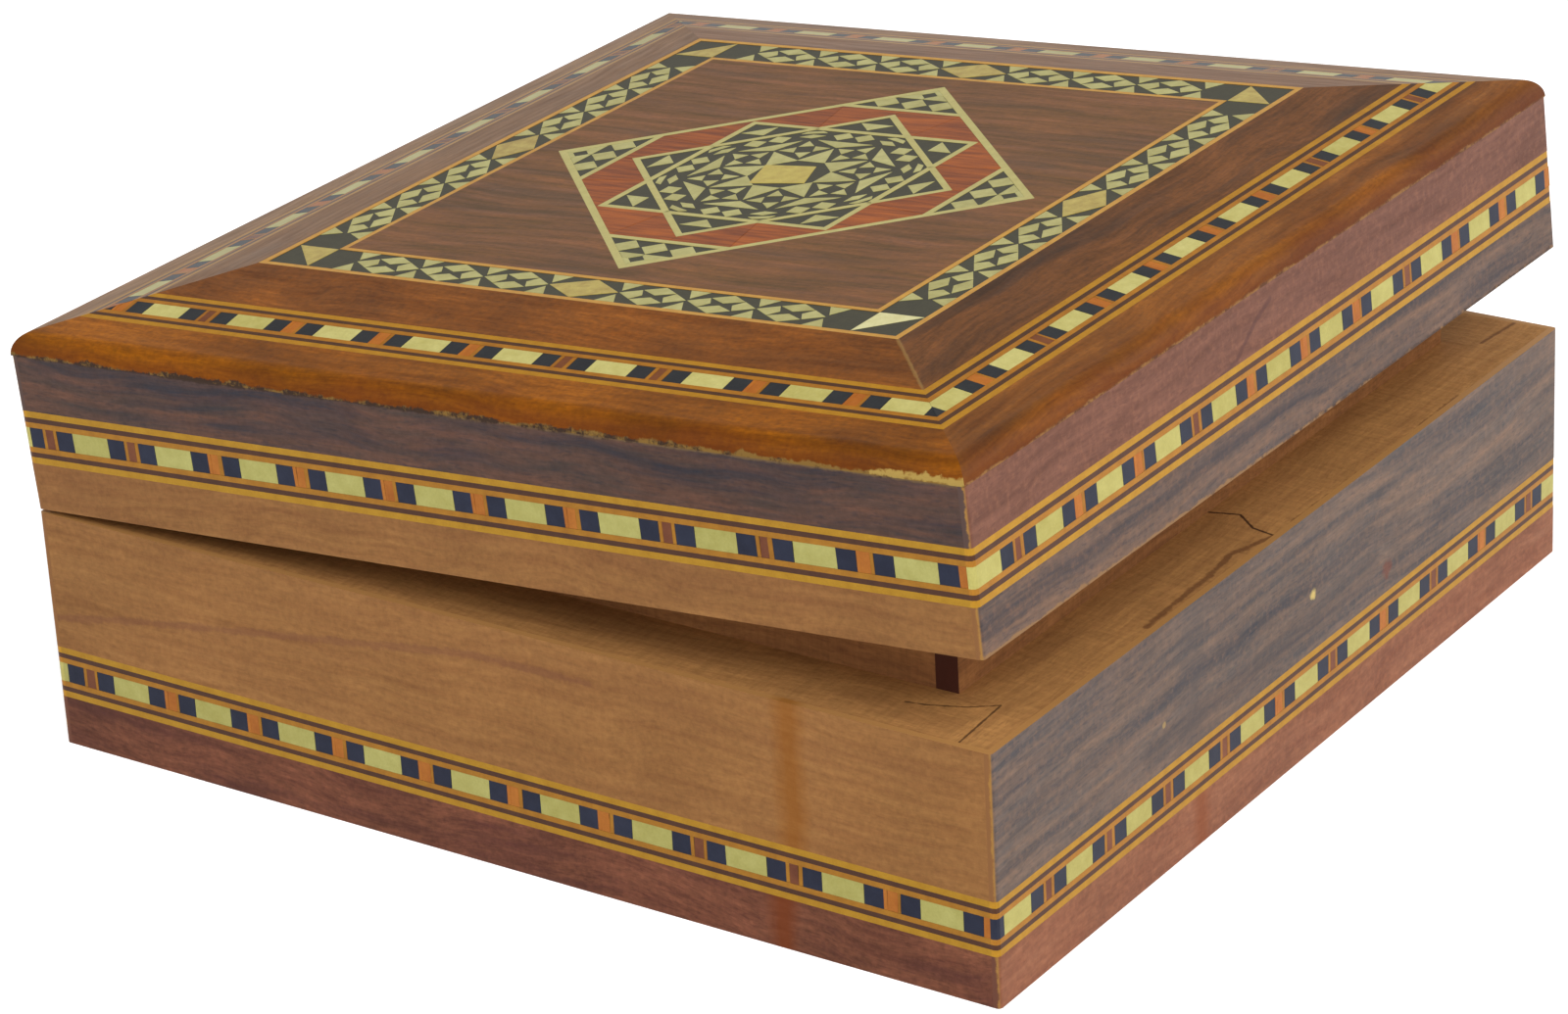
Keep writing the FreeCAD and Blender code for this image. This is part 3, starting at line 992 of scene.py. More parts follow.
TILES = {
    TileKind.GROUND: Tile(srgb(56, 53, 32), srgb(38, 35, 22), 0.5, 0.5),
    TileKind.CREAM: Tile(srgb(206, 195, 110), srgb(182, 168, 84), 0.6),
    TileKind.BONE: Tile(srgb(188, 182, 116), srgb(158, 149, 82), 0.6),
    TileKind.IVORY: Tile(srgb(226, 220, 164), srgb(194, 184, 114), 0.5, 0.38),
    TileKind.PEARL: Tile(srgb(192, 172, 80), srgb(158, 132, 48), 0.9, 0.34),
    TileKind.HONEY: Tile(srgb(196, 178, 74), srgb(172, 146, 48), 0.8, 0.34),
    TileKind.BLACK: Tile(srgb(50, 53, 66), srgb(34, 36, 48), 0.5, 0.4),
    TileKind.ORANGE: Tile(srgb(206, 126, 48), srgb(176, 98, 36), 0.6),
    TileKind.RUST: Tile(srgb(142, 84, 50), srgb(110, 60, 40), 0.6),
    TileKind.RED: Tile(srgb(178, 92, 22), srgb(112, 52, 12), 0.9, 0.42, STREAKY, 0.06),
    TileKind.OCHRE: Tile(srgb(202, 148, 42), srgb(174, 120, 30), 0.6),
    TileKind.LINE: Tile(srgb(94, 60, 40), srgb(72, 46, 34), 0.6),
    TileKind.AMBER: Tile(srgb(192, 130, 42), srgb(158, 100, 32), 0.6),
    TileKind.RULE: Tile(srgb(190, 180, 108), srgb(166, 152, 82), 0.5),
}


class TileFinishes:
    """The tile materials of one place, each made when a sheet first needs it."""

    def __init__(self, body: Body, ageing: Ageing) -> None:
        """Note the place.

        Args:
            body: The body that the inlays ride on.
            ageing: How the inlays there are toned and how much they shine.
        """
        self.body = body
        self.ageing = ageing
        self.made: dict[TileKind, bpy.types.Material] = {}

    def material(self, kind: TileKind) -> bpy.types.Material:
        """Find or make the material of one kind of tile.

        Args:
            kind: The kind of tile.

        Returns:
            The material.
        """
        if kind not in self.made:
            name = f"{self.ageing.name}_{kind.value}"
            self.made[kind] = TILES[kind].build(name, self.body, self.ageing)
        return self.made[kind]


def clip(outline: list[Point], planes: list[Limit]) -> list[Point]:
    """Cut a convex outline back to where every a*u + b*v stays at or below c.

    Args:
        outline: Corners in order.
        planes: Values a, b and c of each limit.

    Returns:
        The corners that are left, or none.
    """
    for a, b, c in planes:
        kept: list[Point] = []
        for index, here in enumerate(outline):
            before = outline[index - 1]
            inside = a * here[0] + b * here[1] - c
            inside_before = a * before[0] + b * before[1] - c
            if inside * inside_before < 0:
                share = inside_before / (inside_before - inside)
                kept.append(tuple(p + (q - p) * share for p, q in zip(before, here)))
            if inside <= 0:
                kept.append(here)
        outline = kept
    return outline


def shoelace(outline: list[Point]) -> float:
    """Measure an outline's area.

    Args:
        outline: Corners in order.

    Returns:
        The area, negative where the corners run clockwise.
    """
    return sum(a[0] * b[1] - b[0] * a[1] for a, b in zip(outline, outline[1:] + outline[:1])) / 2


LEAST_REACH = 0.1


def drawn_in(outline: list[Point], amount: float, most: float) -> list[Point]:
    """Draw an outline's corners in towards its middle.

    Args:
        outline: Corners in order.
        amount: How far the corner nearest to the middle moves.
        most: Greatest share of its way to the middle.

    Returns:
        The corners of the smaller outline.
    """
    count = len(outline)
    middle = (sum(p[0] for p in outline) / count, sum(p[1] for p in outline) / count)
    reach = max(LEAST_REACH, min(math.dist(p, middle) for p in outline))
    share = min(most, amount / reach)
    return [tuple(c + (m - c) * share for c, m in zip(p, middle)) for p in outline]


class TileSheet:
    """An inlaid sheet: a ground with tiles set in it, built flat and then set in its place."""

    # Heights of tops and undersides, with the sheet's outer face at zero.
    TOP = -SIZES.hair
    TILE_FOOT = -0.25
    LINE_FOOT = -0.3
    LINE_TINT = 0.25
    # A smaller tile is left out.
    LEAST_AREA = 0.01
    # Height of a tile's eased edge, and how much wider than high it is.
    EASED = 0.03
    EASED_SLOPE = 1.5
    # Greatest shares of the way to a tile's middle that its gap and its eased edge take.
    MOST_GAP = 0.3
    MOST_EASED = 0.4
    # Where the middle of a rounded end lies, as a share of the rounding.
    ROUND_BOW = 0.3

    def __init__(self, name: str, place: Matrix, body: Body) -> None:
        """Start a sheet.

        Args:
            name: The piece's name.
            place: From the sheet's own millimetres, tops at zero, to the box's.
            body: The body that it rides on.
        """
        self.name = name
        self.place = place
        self.body = body
        self.vertices: list[tuple[float, float, float]] = []
        self.faces: list[tuple[int, ...]] = []
        self.face_kinds: list[TileKind] = []
        self.tints: list[float] = []
        self.chance = random.Random(name)

    def _ring(self, outline: list[Point], height: float) -> list[int]:
        """Add an outline's corners at a height.

        Args:
            outline: Corners in order.
            height: Height of the ring.

        Returns:
            The numbers of its points.
        """
        first = len(self.vertices)
        self.vertices.extend((u, v, height) for u, v in outline)
        return list(range(first, first + len(outline)))

    def _face(self, corners: list[int], kind: TileKind, tint: float) -> None:
        """Add a face.

        Args:
            corners: The numbers of its points.
            kind: Its finish.
            tint: How far its colour leans to the shade.
        """
        self.faces.append(tuple(corners))
        self.face_kinds.append(kind)
        self.tints.append(tint)

    def prism(
        self, outline: list[Point], heights: Point, kind: TileKind, tint: float = 0.0, eased: float = 0.0
    ) -> None:
        """Add an upright prism with its top edges eased.

        Args:
            outline: Convex corners, anticlockwise.
            heights: Heights of its underside and its top.
            kind: Its finish.
            tint: How far its colour leans to the shade.
            eased: Height of the eased edge.
        """
        bottom, top = heights
        count = len(outline)
        rings = [self._ring(outline, bottom)]
        if eased:
            rings.append(self._ring(outline, top - eased))
            outline = drawn_in(outline, eased * self.EASED_SLOPE, self.MOST_EASED)
        rings.append(self._ring(outline, top))
        for lower, upper in zip(rings, rings[1:]):
            for index in range(count):
                after = (index + 1) % count
                self._face([lower[index], lower[after], upper[after], upper[index]], kind, tint)
        self._face(rings[-1], kind, tint)
        self._face(rings[0][::-1], kind, tint)

    def ground(self, outline: list[Point], depth: float = 0.05) -> None:
        """Add the slab under the tiles.

        Args:
            outline: Convex corners, anticlockwise.
            depth: How far it lies below the tops.
        """
        self.prism(outline, (-SIZES.veneer, -depth), TileKind.GROUND)

    def tile(
        self, outline: list[Point], kind: TileKind, gap: float, spread: float = 0.6, drop: float = 0.012
    ) -> None:
        """Set one tile, a little smaller than its place and not quite level with the rest.

        Args:
            outline: Convex corners of its place, in either order, or none.
            kind: Its finish.
            gap: Width left for glue on each side.
            spread: Greatest tint that it may get.
            drop: Greatest depth below the tops.
        """
        area = shoelace(outline)
        if abs(area) < self.LEAST_AREA:
            return
        if area < 0:
            outline = outline[::-1]
        outline = drawn_in(outline, gap, self.MOST_GAP)
        top = self.TOP - self.chance.uniform(0.0, drop)
        self.prism(outline, (self.TILE_FOOT, top), kind, self.chance.uniform(0.0, spread), self.EASED)

    def line(self, outline: list[Point], kind: TileKind) -> None:
        """Set a plain inlaid line, level with the tops.

        Args:
            outline: Convex corners, anticlockwise.
            kind: Its finish.
        """
        self.prism(outline, (self.LINE_FOOT, self.TOP), kind, self.chance.uniform(0.0, self.LINE_TINT))

    def bar(self, span: Point, rows: Point, kind: TileKind, ease: Point, tint: float = 0.0) -> None:
        """Set a straight strip that goes through the whole sheet, its ends rounded over.

        Args:
            span: Where it starts and ends along U.
            rows: Where it starts and ends along V.
            kind: Its finish.
            ease: Size of the rounding at each end.
            tint: How far its colour leans to the shade.
        """
        low, high = span
        profile = [(low, -SIZES.veneer), (high, -SIZES.veneer)]
        for place, size, sign in ((high, ease[1], -1.0), (low, ease[0], 1.0)):
            if size > 0:
                bow = self.ROUND_BOW * size
                curve = [(place, -size), (place + sign * bow, -bow), (place + sign * size, self.TOP)]
                profile.extend(curve if sign < 0 else curve[::-1])
            else:
                profile.append((place, self.TOP))
        first = len(self.vertices)
        count = len(profile)
        self.vertices.extend((u, row, height) for row in rows for u, height in profile)
        self._face(list(range(first, first + count)), kind, tint)
        self._face(list(range(first + 2 * count - 1, first + count - 1, -1)), kind, tint)
        for index in range(count):
            after = (index + 1) % count
            corners = [first + index, first + count + index, first + count + after, first + after]
            self._face(corners, kind, tint)

    def build(self, finishes: TileFinishes, nodes: list[str], slot: str) -> None:
        """Make the mesh and let it stand for its CAD nodes.

        Args:
            finishes: The tile materials of its place.
            nodes: The CAD nodes that it stands for.
            slot: Not used.
        """
        mesh = bpy.data.meshes.new(self.name)
        points = [(self.place @ Vector(p)) / MM_PER_M for p in self.vertices]
        mesh.from_pydata(points, [], self.faces)
        kinds = [kind for kind in TileKind if kind in self.face_kinds]
        for kind in kinds:
            mesh.materials.append(finishes.material(kind))
        mesh.polygons.foreach_set("material_index", [kinds.index(kind) for kind in self.face_kinds])
        tint = mesh.attributes.new("tint", "FLOAT", "FACE")
        tint.data.foreach_set("value", self.tints)
        shell = bmesh.new()
        shell.from_mesh(mesh)
        bmesh.ops.recalc_face_normals(shell, faces=shell.faces)
        shell.to_mesh(mesh)
        shell.free()
        piece = bpy.data.objects.new(self.name, mesh)
        bpy.context.scene.collection.objects.link(piece)
        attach(piece, self.body.value)
        if nodes:
            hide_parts(*nodes)
        log.info("%s: %d faces", self.name, len(self.faces))


@dataclass(frozen=True)
class BandPattern:
    """The rhythm of one banding: where a light block is centred and how far apart they are."""

    centre: float
    period: float
    light: float = 0.43
    dark: float = 0.2
    least: float = 0.05

    def blocks(self, low: float, high: float) -> list[tuple[float, float, TileKind]]:
        """The blocks that fall in a stretch.

        Args:
            low: Start of the stretch.
            high: End of the stretch.

        Returns:
            Start, end and finish of every block, cut at the ends.
        """
        runs = (
            (self.light, TileKind.CREAM),
            (self.dark, TileKind.BLACK),
            (1.0 - self.light - 2 * self.dark, TileKind.ORANGE),
            (self.dark, TileKind.BLACK),
        )
        start = self.centre - self.light * self.period / 2
        start -= math.ceil((start - low) / self.period) * self.period
        found = []
        while start < high:
            for share, kind in runs:
                end = start + share * self.period
                if end > low + self.least and start < high - self.least:
                    found.append((max(start, low), min(end, high), kind))
                start = end
        return found


@dataclass
class Banding:
    """One inlaid banding strip: stringing lines on both sides of a row of blocks."""

    name: str
    place: Matrix
    body: Body
    pattern: BandPattern
    reach: float
    light: TileKind = TileKind.CREAM
    width: float = SIZES.band_width
    mitre: float = 0.0
    ease: float = 0.0
    lines: tuple[tuple[float, TileKind], ...] = (
        (0.9, TileKind.OCHRE),
        (0.7, TileKind.LINE),
        (0.75, TileKind.AMBER),
    )

    GROUND_DEPTH = 0.06
    # A coloured block from this length on has three slips, with these shares for its outer two.
    SLIPS_FROM = 1.2
    FIRST_SLIP = 0.22
    LAST_SLIP = (0.15, 0.3)
    RUST_CHANCE = 0.4
    # A block this near to the strip's end is rounded over there.
    NEAR_END = 0.01
    BAR_TINT = 0.5
    LEAN = 0.06

    def laid_out(self) -> TileSheet:
        """Lay the strip out along its own U axis, its lower edge at V zero.

        Returns:
            The sheet.
        """
        sheet = TileSheet(self.name, self.place, self.body)
        reach, width = self.reach, self.width
        under = reach - self.ease
        over = under - self.mitre * width
        sheet.ground([(-under, 0.0), (under, 0.0), (over, width), (-over, width)], self.GROUND_DEPTH)
        ends = [(1.0, self.mitre, reach), (-1.0, self.mitre, reach)]
        level = 0.0
        for line, kind in self.lines:
            for low in (level, width - level - line):
                if self.mitre:
                    outline = [(-reach, low), (reach, low), (reach, low + line), (-reach, low + line)]
                    sheet.line(clip(outline, ends), kind)
                else:
                    sheet.bar((-reach, reach), (low, low + line), kind, (self.ease, self.ease))
            level += line
        for low, high, kind in self.pattern.blocks(-reach, reach):
            self._block(sheet, (low, high), level, kind, ends)
        return sheet

    def _block(
        self, sheet: TileSheet, span: Point, level: float, kind: TileKind, ends: list[Limit]
    ) -> None:
        """Set one block of the row; a coloured one is made of three thin slips.

        Args:
            sheet: The sheet to add to.
            span: Where the block starts and ends.
            level: Width of the lines below it.
            kind: Its kind in the pattern.
            ends: Limits of the strip's ends.
        """
        chance = sheet.chance
        low, high = span
        length = high - low
        rows = (level, self.width - level)
        slips = [(low, high, self.light if kind is TileKind.CREAM else kind)]
        if kind is TileKind.ORANGE and length > self.SLIPS_FROM:
            heart = TileKind.RUST if chance.random() < self.RUST_CHANCE else TileKind.ORANGE
            edge = TileKind.AMBER if heart is TileKind.RUST else TileKind.ORANGE
            inner = (low + length * self.FIRST_SLIP, high - length * chance.uniform(*self.LAST_SLIP))
            slips = [(low, inner[0], edge), (*inner, heart), (inner[1], high, TileKind.AMBER)]
        for start, end, slip in slips:
            first, last = start <= -self.reach + self.NEAR_END, end >= self.reach - self.NEAR_END
            if self.ease and (first or last):
                ease = (self.ease * first, self.ease * last)
                sheet.bar((start, end), rows, slip, ease, chance.uniform(0.0, self.BAR_TINT))
                continue
            lean = chance.uniform(-self.LEAN, self.LEAN)
            outline = [(start, rows[0]), (end, rows[0]), (end + lean, rows[1]), (start + lean, rows[1])]
            sheet.tile(clip(outline, ends), slip, gap=0.02, spread=0.7, drop=0.01)


def wall_place(side: Side, low: float, lid: bool) -> Matrix:
    """Where a sheet on a wall goes: U along the wall, V up and its tops on the outer face.

    Args:
        side: The side of the box.
        low: Height of the sheet's lower edge.
        lid: Whether the wall is the lid's.

    Returns:
        From the sheet's own millimetres to the box's.
    """
    upright = Matrix.Rotation(math.radians(90), 4, "X")
    turn = Matrix.Rotation(math.radians(side.value), 4, "Z")
    place = turn @ Matrix.Translation((0, -SIZES.half, low)) @ upright
    return SIZES.opened @ place if lid else place


def bevel_place(side: Side) -> Matrix:
    """Where a sheet on the lid's bevel goes: V up the slope from the banding's outer edge.

    Args:
        side: The side of the box.

    Returns:
        From the sheet's own millimetres to the box's.
    """
    slope = math.radians(SIZES.bevel_angle)
    rise = (SIZES.bevel_inset - SIZES.bevel_band_inset) * math.tan(slope)
    foot = Matrix.Translation((0, -SIZES.half + SIZES.bevel_band_inset, SIZES.lid_top - rise))
    tilt = Matrix.Rotation(slope, 4, "X")
    return SIZES.opened @ Matrix.Rotation(math.radians(side.value), 4, "Z") @ foot @ tilt


@dataclass(frozen=True)
class Bandings:
    """All the bandings of the box, with how those of each place are toned and how much they shine."""

    walls: tuple[tuple[Body, Side, BandPattern], ...] = (
        (Body.BASE, Side.FRONT, BandPattern(59.35, 14.41)),
        (Body.BASE, Side.LEFT, BandPattern(-61.95, 14.34)),
        (Body.BASE, Side.BACK, BandPattern(3.0, 14.3)),
        (Body.BASE, Side.RIGHT, BandPattern(-4.0, 14.35)),
        (Body.LID, Side.FRONT, BandPattern(67.4, 13.96)),
        (Body.LID, Side.LEFT, BandPattern(-63.25, 14.46)),
        (Body.LID, Side.BACK, BandPattern(1.5, 14.2)),
        (Body.LID, Side.RIGHT, BandPattern(5.0, 14.2)),
    )
    bevels: tuple[tuple[Side, BandPattern], ...] = (
        (Side.FRONT, BandPattern(-5.3, 13.87)),
        (Side.LEFT, BandPattern(2.4, 14.6)),
        (Side.BACK, BandPattern(1.0, 14.2)),
        (Side.RIGHT, BandPattern(-3.0, 14.2)),
    )
    side_tone: Colour = (0.82, 0.88, 1.05)
    cross_tone: Colour = (0.98, 1.0, 1.12)
    near_bevel: Ageing = Ageing("near_bevel", (0.8, 0.77, 0.54), 0.4)
    # The far bevels' inlays are toned darker and more olive; the olive tint is partly painted haze, standing
    # in for the grazing reflection seen there.
    far_bevel: Ageing = Ageing("far_bevel", (0.62, 0.61, 0.48))

    def build(self) -> None:
        """Make every banding, each in the finishes of its place."""
        self._walls()
        self._bevels()

    def _walls(self) -> None:
        """Make the eight bandings of the walls."""
        finishes = {
            (body, across): TileFinishes(body, Ageing(f"{body.value}_{word}", tone))
            for body in (Body.BASE, Body.LID)
            for across, word, tone in ((False, "side", self.side_tone), (True, "cross", self.cross_tone))
        }
        for body, side, pattern in self.walls:
            lid = body is Body.LID
            low = SIZES.lid_rim + SIZES.lid_band_low if lid else SIZES.base_band_low
            reach = SIZES.half - (SIZES.hair if side.across else SIZES.veneer)
            node = f"{body.value}_{side.word}_banding"
            strip = Banding(f"{node}_inlay", wall_place(side, low, lid), body, pattern, reach)
            strip.ease = SIZES.corner_round if side.across else 0.0
            strip.laid_out().build(finishes[body, side.across], [node], "banding")

    def _bevels(self) -> None:
        """Make the four mitred bandings of the bevels; the first stands for the CAD node of all four."""
        near, far = (TileFinishes(Body.LID, ageing) for ageing in (self.near_bevel, self.far_bevel))
        reach = SIZES.half - SIZES.bevel_band_inset
        nodes = ["bevel_bandings"]
        for side, pattern in self.bevels:
            strip = Banding(f"bevel_{side.word}_banding_inlay", bevel_place(side), Body.LID, pattern, reach)
            strip.mitre = math.cos(math.radians(SIZES.bevel_angle))
            strip.light = TileKind.IVORY
            strip.laid_out().build(near if side.near else far, nodes, "banding")
            nodes = []


PutTile = Callable[[list[Point], TileKind], None]
TOP_PLACE = SIZES.opened @ Matrix.Translation((0, 0, SIZES.lid_top))


@dataclass(frozen=True)
class MosaicBorder:
    """The mosaic border round the lid's flat top; heights across its row go from -1 to 1."""

    outer: float = SIZES.half - SIZES.bevel_inset
    width: float = SIZES.border_width
    outer_line: float = 0.9
    inner_line: float = 0.8
    junctions: tuple[float, ...] = (5.6, 16.2, 26.9, 37.5)
    edge: float = 0.98
    wedge_half: float = 1.6
    wedge_tip: float = 0.18
    eye: float = 0.3
    slim: float = 0.1

    GAP = 0.06
    CORNER_GAP = 0.1
    CORNER_TINT = 0.5

    def build(self, finishes: TileFinishes) -> None:
        """Make the border.

        Args:
            finishes: The tile materials of the lid's top.
        """
        sheet = TileSheet("mosaic_border_inlay", TOP_PLACE, Body.LID)
        for side in Side:
            self._side(sheet, Matrix.Rotation(math.radians(side.value), 2))
        sheet.build(finishes, ["mosaic_border"], "mosaic")

    def _side(self, sheet: TileSheet, turn: Matrix) -> None:
        """Lay out one side, drawn along the front and then turned.

        Args:
            sheet: The sheet to add to.
            turn: The turn from the front to the side.
        """
        outer, inner = self.outer, self.outer - self.width
        edge, inside = outer - self.outer_line, inner + self.inner_line
        middle, half = -(edge + inside) / 2, (edge - inside) / 2

        def at(u: float, v: float) -> Point:
            """Turn a point of the front to the side."""
            return tuple(turn @ Vector((u, v)))

        def between(far: float, near: float) -> list[Point]:
            """The mitred strip from one distance to a nearer one."""
            return [at(-far, -far), at(far, -far), at(near, -near), at(-near, -near)]

        def put(points: list[Point], kind: TileKind) -> None:
            """Set a tile of the row."""
            sheet.tile([at(u, middle + v * half) for u, v in points], kind, self.GAP)

        sheet.ground(between(outer, inner))
        sheet.line(between(outer, edge), TileKind.OCHRE)
        sheet.line(between(inside, inner), TileKind.OCHRE)
        corner = [at(-edge, -edge), at(-inside, -edge), at(-inside, -inside), at(-edge, -inside)]
        shell = TileKind.IVORY if sum(corner[0]) < -outer else TileKind.PEARL
        sheet.tile(corner[1:], shell, self.CORNER_GAP, self.CORNER_TINT)
        first = self.junctions[0]
        put([(-first, 0.0), (0.0, -self.edge), (first, 0.0), (0.0, self.edge)], TileKind.PEARL)
        for low, high in zip(self.junctions, self.junctions[1:]):
            for sign in (-1.0, 1.0):
                self._motif(put, sign * (low + high) / 2, (high - low) / 2)
        for place in self.junctions:
            for sign in (-1.0, 1.0):
                self._wedges(put, sign * place)

    def _motif(self, put: PutTile, centre: float, half: float) -> None:
        """Lay out one motif: a large rhombus of four small ones.

        Args:
            put: Sets one tile from its corners and finish.
            centre: Where the motif is centred along the side.
            half: Half its length.
        """
        quarter = half / 2
        for sign in (-1.0, 1.0):
            middle, tip, eye = (centre + sign * reach for reach in (quarter, half, half * self.eye))
            put([(tip, 0.0), (middle, -0.5), (eye, 0.0), (middle, 0.5)], TileKind.BONE)
            rise = sign * 0.5
            ends = [(centre, sign * self.edge), (centre, sign * self.slim)]
            put([ends[0], (centre + quarter, rise), ends[1], (centre - quarter, rise)], TileKind.BONE)

    def _wedges(self, put: PutTile, place: float) -> None:
        """Set the two triangles where motifs meet.

        Args:
            put: Sets one tile from its corners and finish.
            place: Where they are along the side.
        """
        low, high = place - self.wedge_half, place + self.wedge_half
        for sign in (-1.0, 1.0):
            base = sign * self.edge
            put([(low, base), (high, base), (place, sign * self.wedge_tip)], TileKind.BONE)


def turned(points: Iterable[Point], angle: float) -> list[Point]:
    """Turn points about the origin.

    Args:
        points: The points.
        angle: The turn in radians, anticlockwise.

    Returns:
        The turned points.
    """
    cosine, sine = math.cos(angle), math.sin(angle)
    return [(u * cosine - v * sine, u * sine + v * cosine) for u, v in points]


@dataclass(frozen=True)
class StarMedallion:
    """The eight-pointed star of small tiles set in the lid's field, corners to the sides.

    Distances are from its centre; the outlines of an eighth are drawn about the U axis.
    """

    reach: float = SIZES.medallion_reach
    rim: float = 1.08
    star: float = 18.55
    rule: float = 0.95
    cut: float = 27.8
    diamonds: tuple[float, ...] = (-4.55, 0.0, 4.55)
    diamond_middle: float = 2.3
    diamond_half: Point = (2.2, 2.15)
    shoulder: float = 4.55
    eye: float = 6.4
    eye_half: float = 1.3
    point_tile: tuple[Point, ...] = ((0.6, 0.0), (3.3, -2.75), (3.3, 2.75))
    pair_tile: tuple[Point, ...] = ((-1.65, 0.0), (0.0, -1.7), (1.62, 0.0), (0.0, 1.7))
    pair_places: tuple[Point, ...] = ((15.95, -1.75), (15.95, 1.75))
    ring_tile: tuple[Point, ...] = ((13.8, -4.7), (13.8, 4.7), (11.4, 0.0))
    ray_tile: tuple[Point, ...] = ((5.3, -2.3), (5.3, 2.3), (11.0, 0.0))
    cap_tile: tuple[Point, ...] = ((17.4, -2.0), (18.35, -1.2), (18.35, 1.2), (17.4, 2.0))
    corner_tile: tuple[Point, ...] = ((15.3, 0.0), (16.15, -2.05), (17.0, 0.0), (16.15, 2.05))
    slip_tile: tuple[Point, ...] = ((1.3, -1.15), (3.7, 0.0), (1.3, 1.15))
    slip_ring: float = 10.5
    centre_tile: tuple[Point, ...] = ((-4.8, 3.3), (-2.8, -4.4), (3.7, -2.0), (2.5, 5.6))

    GAP = 0.06
    CORNER_GAP = 0.03
    TIGHT_GAP = 0.01
    CENTRE_TOP = -0.001
    CENTRE_TINT = 0.2

    def build(self, finishes: TileFinishes) -> None:
        """Make the medallion.

        Args:
            finishes: The tile materials of the lid's top.
        """
        sheet = TileSheet("star_medallion_inlay", TOP_PLACE, Body.LID)
        reach = self.reach
        sheet.ground([(reach, 0.0), (0.0, reach), (-reach, 0.0), (0.0, -reach)])
        for quarter in range(4):
            self._quarter(sheet, math.radians(90 * quarter))
        for eighth in range(8):
            self._eighth(sheet, math.radians(45 * eighth))
        heights = (sheet.TILE_FOOT, self.CENTRE_TOP)
        sheet.prism(list(self.centre_tile), heights, TileKind.HONEY, self.CENTRE_TINT, sheet.EASED)
        sheet.build(finishes, ["star_medallion"], "mosaic")

    def _quarter(self, sheet: TileSheet, angle: float) -> None:
        """Lay out the rim, one corner piece and the red fields beside it.

        Args:
            sheet: The sheet to add to.
            angle: The turn from the corner on the U axis.
        """
        reach, inside = self.reach, self.reach - self.rim * math.sqrt(2)
        cut, base = self.cut, self.cut + self.rule
        tall = inside - base

        def put(points: list[Point], kind: TileKind, gap: float = self.TIGHT_GAP) -> None:
            """Set a tile of the quarter."""
            sheet.tile(turned(points, angle), kind, gap)

        def rule(points: list[Point]) -> None:
            """Set a pale line of the quarter."""
            sheet.line(turned(points, angle), TileKind.RULE)

        rule([(reach, 0.0), (0.0, reach), (0.0, inside), (inside, 0.0)])
        rule([(cut, cut - inside), (base, -tall), (base, tall), (cut, inside - cut)])
        limits = [(1.0, 1.0, inside), (1.0, -1.0, inside), (-1.0, 0.0, -base)]
        middle = base + self.diamond_middle
        long, wide = self.diamond_half
        for v in self.diamonds:
            diamond = [(middle - long, v), (middle, v - wide), (middle + long, v), (middle, v + wide)]
            put(clip(diamond, limits), TileKind.BONE, self.CORNER_GAP)
        low, eye, half = base + self.shoulder, base + self.eye, self.eye_half
        tip = self.star * math.sqrt(2)
        for sign in (-1.0, 1.0):
            brow, side = (eye, sign * half), (eye, sign * (inside - eye))
            shoulder = [(low, sign * (inside - low)), (low, 0.0), (eye - half, 0.0), brow, side]
            put(shoulder, TileKind.BONE, self.CORNER_GAP)
            put([brow, (eye + half, 0.0), (inside, 0.0), side], TileKind.BONE)
        for sign in (-1.0, 1.0):
            neck, notch = (self.star, sign * (tip - self.star)), (self.star, sign * self.star)
            corner, edge = (cut, sign * (inside - cut)), (inside / 2, sign * inside / 2)
            put([(tip, 0.0), (cut, 0.0), corner, neck], TileKind.RED)
            put([corner, edge, notch, neck], TileKind.RED)

    def _eighth(self, sheet: TileSheet, angle: float) -> None:
        """Lay out one star point and its part of the rings inside the octagon.

        Args:
            sheet: The sheet to add to.
            angle: The turn from the point on the U axis.
        """

        def put(points: Iterable[Point], shift: Point = (0.0, 0.0)) -> None:
            """Set a pale tile of the eighth, moved from where it is drawn."""
            moved = [(u + shift[0], v + shift[1]) for u, v in points]
            sheet.tile(turned(moved, angle), TileKind.BONE, self.GAP)

        def rule(points: list[Point]) -> None:
            """Set a pale line of the eighth."""
            sheet.line(turned(points, angle), TileKind.RULE)

        star, width = self.star, self.rule
        tip = star * math.sqrt(2)
        neck, inset = tip - star, width * math.sqrt(2)
        rule([(tip, 0.0), (star, neck), (star, neck - inset), (tip - inset, 0.0)])
        rule([(tip - inset, 0.0), (star, inset - neck), (star, -neck), (tip, 0.0)])
        rule([(star - width, -neck), (star, -neck), (star, neck), (star - width, neck)])
        put(self.point_tile, (star, 0.0))
        for place in self.pair_places:
            put(self.pair_tile, place)
        put(self.ring_tile)
        put(self.ray_tile)
        corner = math.radians(22.5)
        put(turned(self.cap_tile, corner))
        put(turned(self.corner_tile, corner))
        middle = turned([(self.slip_ring, 0.0)], corner)[0]
        for step in range(4):
            put(turned(self.slip_tile, corner + math.radians(90 * step)), middle)


@dataclass(frozen=True)
class Dressing:
    """A finish and the CAD nodes that wear it."""

    finish: Wood | Brass
    nodes: tuple[str, ...]


